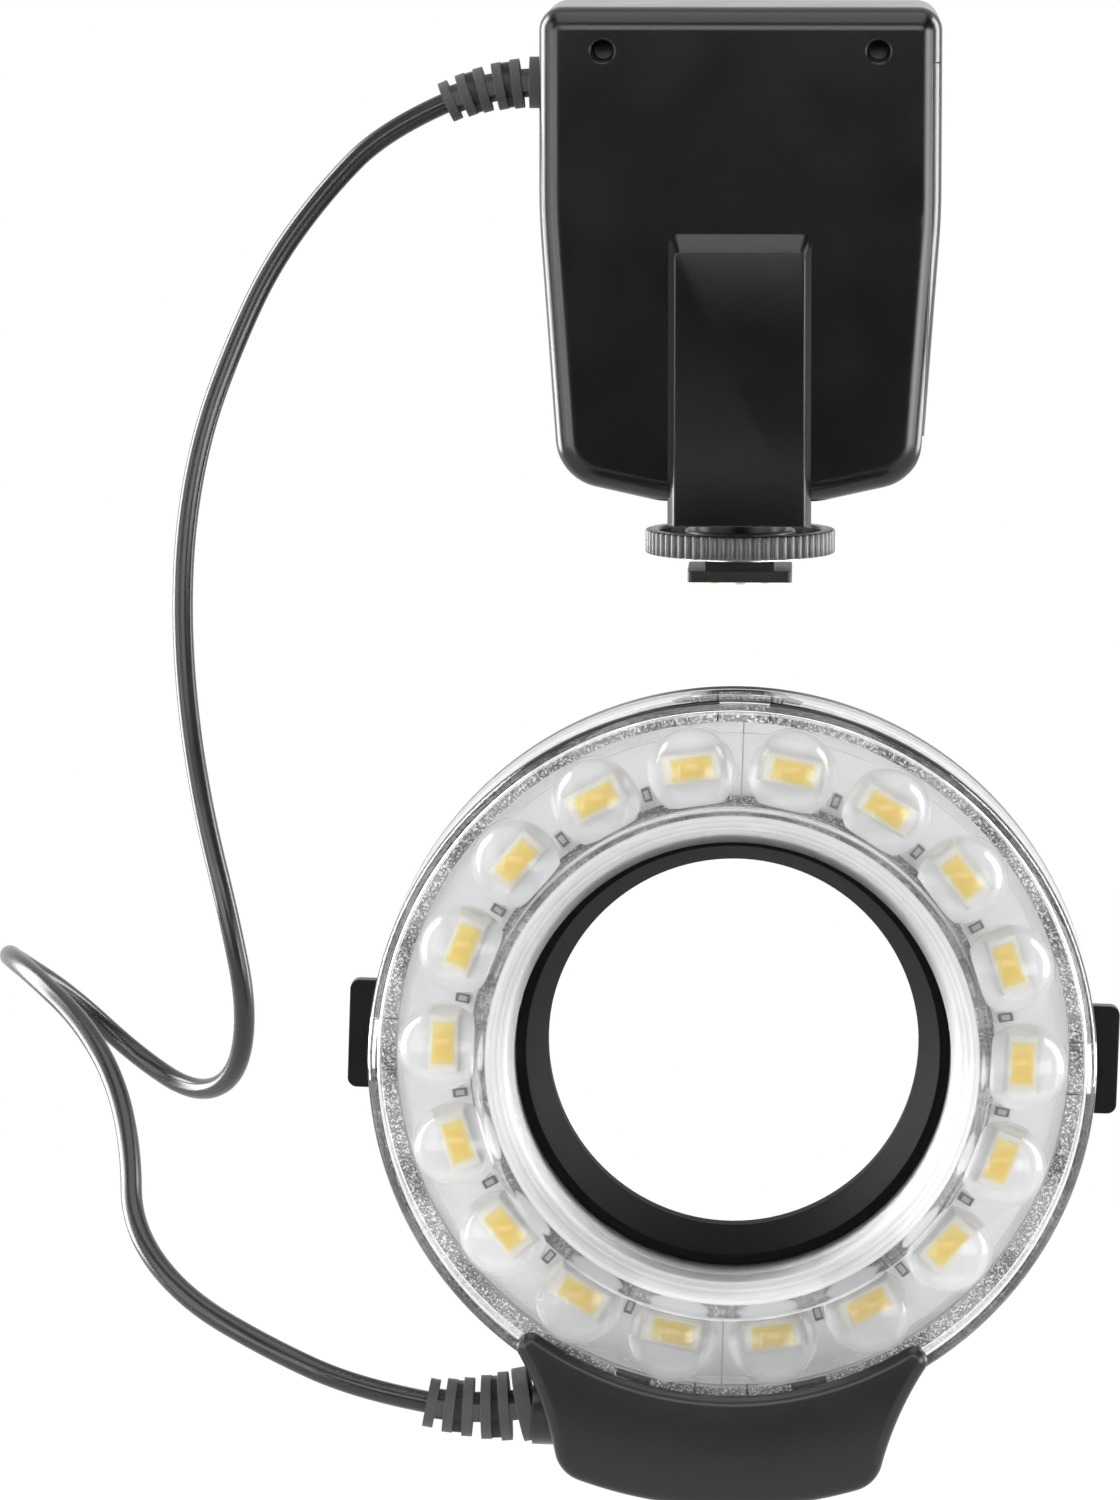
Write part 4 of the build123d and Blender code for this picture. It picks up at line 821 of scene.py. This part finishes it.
def add_lens_plate():
    """The scalloped plate with a dome over each light, as one smooth clear body."""
    bm = bmesh.new()
    steps = led_count * steps_per_light
    turns = [math.tau * index / steps for index in range(steps)]

    def loop(outward, y):
        radii = [scalloped(turn, outward) for turn in turns]
        return [bm.verts.new((r * math.cos(t), y, r * math.sin(t))) for r, t in zip(radii, turns)]

    def closed(verts):
        return list(zip(verts, verts[1:] + verts[:1]))

    outer_front, inner_front = loop(True, lens_front_y), loop(False, lens_front_y)
    outer_back, inner_back = loop(True, lens_back_y), loop(False, lens_back_y)
    for first, second in ((outer_front, outer_back), (outer_back, inner_back), (inner_back, inner_front)):
        for (a, b), (c, d) in zip(closed(first), closed(second)):
            bm.faces.new((a, b, d, c))
    rim = [
        bm.edges.get(pair) or bm.edges.new(pair)
        for verts in (outer_front, inner_front)
        for pair in closed(verts)
    ]
    low = math.asin(dome_sink / dome_radius)
    for angle in led_angles():
        x, z = led_circle_radius * math.cos(angle), led_circle_radius * math.sin(angle)
        rings = []
        for ring in range(dome_rings):
            rise = low + (math.pi / 2 - low) * ring / dome_rings
            radius = dome_radius * math.cos(rise)
            y = lens_front_y + dome_sink - dome_radius * math.sin(rise)
            turns_here = [math.tau * index / dome_steps for index in range(dome_steps)]
            rings.append([
                bm.verts.new((x + radius * math.cos(t), y, z + radius * math.sin(t))) for t in turns_here
            ])
        for first, second in zip(rings, rings[1:]):
            for (a, b), (c, d) in zip(closed(first), closed(second)):
                bm.faces.new((a, b, d, c))
        top = bm.verts.new((x, lens_front_y + dome_sink - dome_radius, z))
        for a, b in closed(rings[-1]):
            bm.faces.new((a, b, top))
        rim += [bm.edges.get(pair) for pair in closed(rings[0])]
    bmesh.ops.triangle_fill(bm, use_beauty=True, use_dissolve=False, edges=rim, normal=(0, -1, 0))
    bm.transform(ring_place)
    add_piece("lens_domes", bm, "lens_plate", finishes["lens_white"], sharp=lens_sharp_degrees)


def add_led_boards():
    """The two half-ring boards, which reach to the pale cone and nearly to each other."""
    for name, side in (("left", 1), ("right", -1)):
        profiles = []
        for index in range(led_board_steps + 1):
            turn = math.pi / 2 + side * math.pi * index / led_board_steps
            ends = [(led_board_outer, 0), (led_board_outer, 1), (led_board_inner, 1), (led_board_inner, 0)]
            profiles.append([
                (
                    r * math.cos(turn) - side * led_board_seam / 2,
                    led_board_front_y + back * led_board_thickness,
                    r * math.sin(turn),
                )
                for r, back in ends
            ])
        bm = lathe(profiles, close=False)
        bm.transform(ring_place)
        node = f"{name}_led_board"
        add_piece(f"{name}_light_board", bm, node, finishes["led_board_white"])


def small_blocks(size, corner, radius, angles, front):
    """Blocks with rounded edges on a circle, their fronts mapped from corner to corner."""
    bm = bmesh.new()
    layer = bm.loops.layers.uv.new("face")
    width, height, depth = size
    for angle in angles:
        made = bmesh.ops.create_cube(bm, size=1.0)["verts"]
        shape = Matrix.Diagonal((width, depth, height, 1))
        turn = Matrix.Rotation(-(angle - math.pi / 2), 4, "Y")
        place = Matrix.Translation((radius * math.cos(angle), front + depth / 2, radius * math.sin(angle)))
        faces = {face for vert in made for face in vert.link_faces}
        bmesh.ops.transform(bm, matrix=shape, verts=made)
        edges = {edge for vert in made for edge in vert.link_edges}
        rounded = bmesh.ops.bevel(
            bm, geom=list(edges), offset=corner, segments=rounding_segments, profile=0.5, affect="EDGES"
        )
        block_faces = set(rounded["faces"]) | {face for face in faces if face.is_valid}
        verts = {vert for face in block_faces for vert in face.verts}
        for face in {face for vert in verts for face in vert.link_faces}:
            for corner_loop in face.loops:
                co = corner_loop.vert.co
                corner_loop[layer].uv = (co.x / width + 0.5, co.z / height + 0.5)
        bmesh.ops.transform(bm, matrix=place @ turn, verts=list(verts))
    bm.transform(ring_place)
    return bm


def add_lights():
    """The lights' packages, their phosphors and the resistors between them."""
    angles = led_angles()
    front = led_board_front_y - led_size[2]
    packages = small_blocks(led_size, led_corner, led_circle_radius, angles, front)
    add_piece("light_packages", packages, "led_packages", finishes["led_package"])
    proud = front - phosphor_size[2]
    phosphors = small_blocks(phosphor_size, phosphor_corner, led_circle_radius, angles, proud)
    add_piece("light_phosphors", phosphors, "led_phosphors", finishes["led_phosphor"])
    pitch = math.tau / led_count
    between = [angle + pitch / 2 for angle in angles]
    kept = [angle for angle in between if abs(math.cos(angle)) > mm]
    front = led_board_front_y - resistor_size[2]
    resistors = small_blocks(resistor_size, resistor_corner, resistor_circle_radius, kept, front)
    add_piece("resistors", resistors, "chip_resistors", finishes["resistor"])


def add_wheel():
    """The knurled wheel: rounded teeth, a hollow top and a hub, with softened edges."""
    top = wheel_low_z + wheel_height
    inner = wheel_radius - wheel_rim
    hub = wheel_bore_radius + wheel_hub
    web = wheel_low_z + wheel_web
    steps = wheel_teeth * tooth_steps
    profiles = []
    for index in range(steps):
        turn = math.tau * index / steps
        wave = abs(math.cos(wheel_teeth * turn / 2))
        rim = wheel_radius - wheel_tooth_depth * (1 - wave**wheel_tooth_roundness)
        outline = [
            (wheel_bore_radius, wheel_low_z),
            (rim - wheel_edge, wheel_low_z),
            (rim - wheel_edge / 3, wheel_low_z + wheel_edge / 3),
            (rim, wheel_low_z + wheel_edge),
            (rim, top - wheel_edge),
            (rim - wheel_edge / 3, top - wheel_edge / 3),
            (rim - wheel_edge, top),
            (inner + wheel_edge, top),
            (inner, top - wheel_edge),
            (inner, web + wheel_edge),
            (inner - wheel_edge, web),
            (hub + wheel_edge, web),
            (hub, web + wheel_edge),
            (hub, top - wheel_edge),
            (hub - wheel_edge, top),
            (wheel_bore_radius + wheel_edge, top),
            (wheel_bore_radius, top - wheel_edge),
        ]
        profiles.append([(r * math.cos(turn), r * math.sin(turn), z) for r, z in outline])
    wheel = lathe(profiles)
    add_piece("knurled_wheel", wheel, "lock_wheel", finishes["wheel_grey"], "lock_wheel")


def add_softened(name, slot, width):
    """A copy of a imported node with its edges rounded, in place of the node."""
    bm = bmesh.new()
    bm.from_mesh(frame["nodes"][name].data)
    bmesh.ops.remove_doubles(bm, verts=bm.verts, dist=weld_distance)
    bmesh.ops.dissolve_limit(bm, angle_limit=math.radians(1), verts=bm.verts, edges=bm.edges)
    mesh = bpy.data.meshes.new(name + "_plain")
    bm.to_mesh(mesh)
    bm.free()
    plain = bpy.data.objects.new(name + "_plain", mesh)
    bpy.context.scene.collection.objects.link(plain)
    bevel = plain.modifiers.new("bevel", "BEVEL")
    bevel.width = width
    bevel.segments = rounding_segments
    bevel.limit_method = "ANGLE"
    bevel.angle_limit = math.radians(sharp_degrees)
    bevel.use_clamp_overlap = True
    result = bpy.data.meshes.new_from_object(plain.evaluated_get(bpy.context.evaluated_depsgraph_get()))
    bm = bmesh.new()
    bm.from_mesh(result)
    bpy.data.objects.remove(plain)
    add_piece(name + "_soft", bm, name, finishes[slot])


def add_lamp(name, place, aim, size, power, glossy=True, diffuse=True):
    """An area lamp. glossy and diffuse say whether gloss shows it and whether it lights matt surfaces."""
    data = bpy.data.lights.new(name, "AREA")
    data.shape = "RECTANGLE"
    data.size, data.size_y = size
    data.energy = power
    lamp = bpy.data.objects.new(name, data)
    lamp.location = place
    lamp.rotation_euler = (Vector(aim) - Vector(place)).to_track_quat("-Z", "Y").to_euler()
    lamp.visible_glossy = glossy
    lamp.visible_diffuse = diffuse
    lamp.visible_camera = False
    bpy.context.scene.collection.objects.link(lamp)


def add_lamps():
    """Strips and panels beside the object, a sheet above, cards for the gloss alone and a matt fill."""
    middle = (0, -0.06, -0.02)
    add_lamp("left edge strip", (-0.7, 0.25, 0.1), middle, (0.35, 1.0), 15)
    add_lamp("right edge strip", (0.7, 0.15, 0.1), middle, (0.3, 1.0), 12)
    add_lamp("left panel", (-0.85, -0.4, 0.1), middle, (0.5, 1.0), 4)
    add_lamp("left front strip", (-0.7, -1.25, 0.1), middle, (0.08, 0.9), 2.2)
    add_lamp("right front strip", (0.75, -0.75, -0.05), middle, (0.25, 0.7), 2.3)
    add_lamp("left card", (-0.75, -0.8, -0.1), middle, (0.5, 0.6), 3.2, diffuse=False)
    add_lamp("right card", (0.78, -0.65, -0.1), middle, (0.8, 0.6), 8.5, diffuse=False)
    add_lamp("top sheet", (0, -0.35, 0.85), middle, (0.9, 1.0), 5.5)
    add_lamp("brow panel", (0, -1.5, 0.44), middle, (1.0, 0.35), 5.5, diffuse=False)
    add_lamp("front fill", (-0.2, -1.8, 0.8), middle, (1.4, 1.4), 2.4, glossy=False)


def add_world():
    """Soft surroundings, white behind the object and dim in front of it. The camera sees plain white."""
    world = bpy.data.worlds.new("studio")
    world.use_nodes = True
    s = Shader(world.node_tree)
    direction = s.add("TexCoord").outputs["Generated"]
    ahead = s.add("SeparateXYZ", None, Vector=direction).outputs["Y"]
    share = s.span(ahead, 0.0, 1.0, -1.0, 1.0)
    light = s.steps(share, (0.0, 0.01), (0.34, 0.02), (0.5, 0.25), (0.62, 0.8), (1.0, 1.0))
    path = s.add("LightPath").outputs
    seen = s.math("MAXIMUM", path["Is Camera Ray"], path["Is Transmission Ray"])
    surround = s.add("Background", None, Color=light, Strength=1.0)
    white = s.add("Background", None, Color=colour(1.0), Strength=1.0)
    s.add("OutputWorld")
    s.show_blend(seen, surround, white)
    bpy.context.scene.world = world


def add_floor():
    """A plain floor below the object, nearly white to the camera, in gloss and through clear pieces."""
    drop = 0.09
    reach = 0.9
    lowest = cad_box[0].z - drop
    mesh = bpy.data.meshes.new("floor")
    corners = [(-reach, -reach), (reach, -reach), (reach, reach), (-reach, reach)]
    mesh.from_pydata([(x, y, lowest) for x, y in corners], [], [(0, 1, 2, 3)])
    floor = bpy.data.objects.new("floor", mesh)
    bpy.context.scene.collection.objects.link(floor)
    made, s, shader = material("floor")
    s.feed(shader, "Base Color", colour(0.88))
    s.feed(shader, "Roughness", 0.9)
    path = s.add("LightPath")
    seen = s.math("MAXIMUM", path.outputs["Is Camera Ray"], path.outputs["Is Transmission Ray"])
    seen = s.math("MAXIMUM", seen, path.outputs["Is Glossy Ray"])
    glow = s.add("Emission", None, Color=colour(1.0), Strength=1.0)
    away = s.add("VectorMath", {"operation": "LENGTH"}, **{"0": s.add("TexCoord").outputs["Object"]})
    share = s.span(away.outputs["Value"], 0.96, 1.0, 0.4 * reach, reach)
    s.show_blend(s.math("MULTIPLY", seen, share), shader, glow)
    mesh.materials.append(made)


add_camera()
add_cord(finishes["cord_black"])
finish_cad_nodes()
add_cover()
add_pale_cone()
add_lens_plate()
add_led_boards()
add_lights()
add_wheel()
add_softened("pedestal", "case_black", pedestal_edge)
add_lamps()
add_world()
add_floor()
bpy.context.scene.view_settings.view_transform = "Standard"
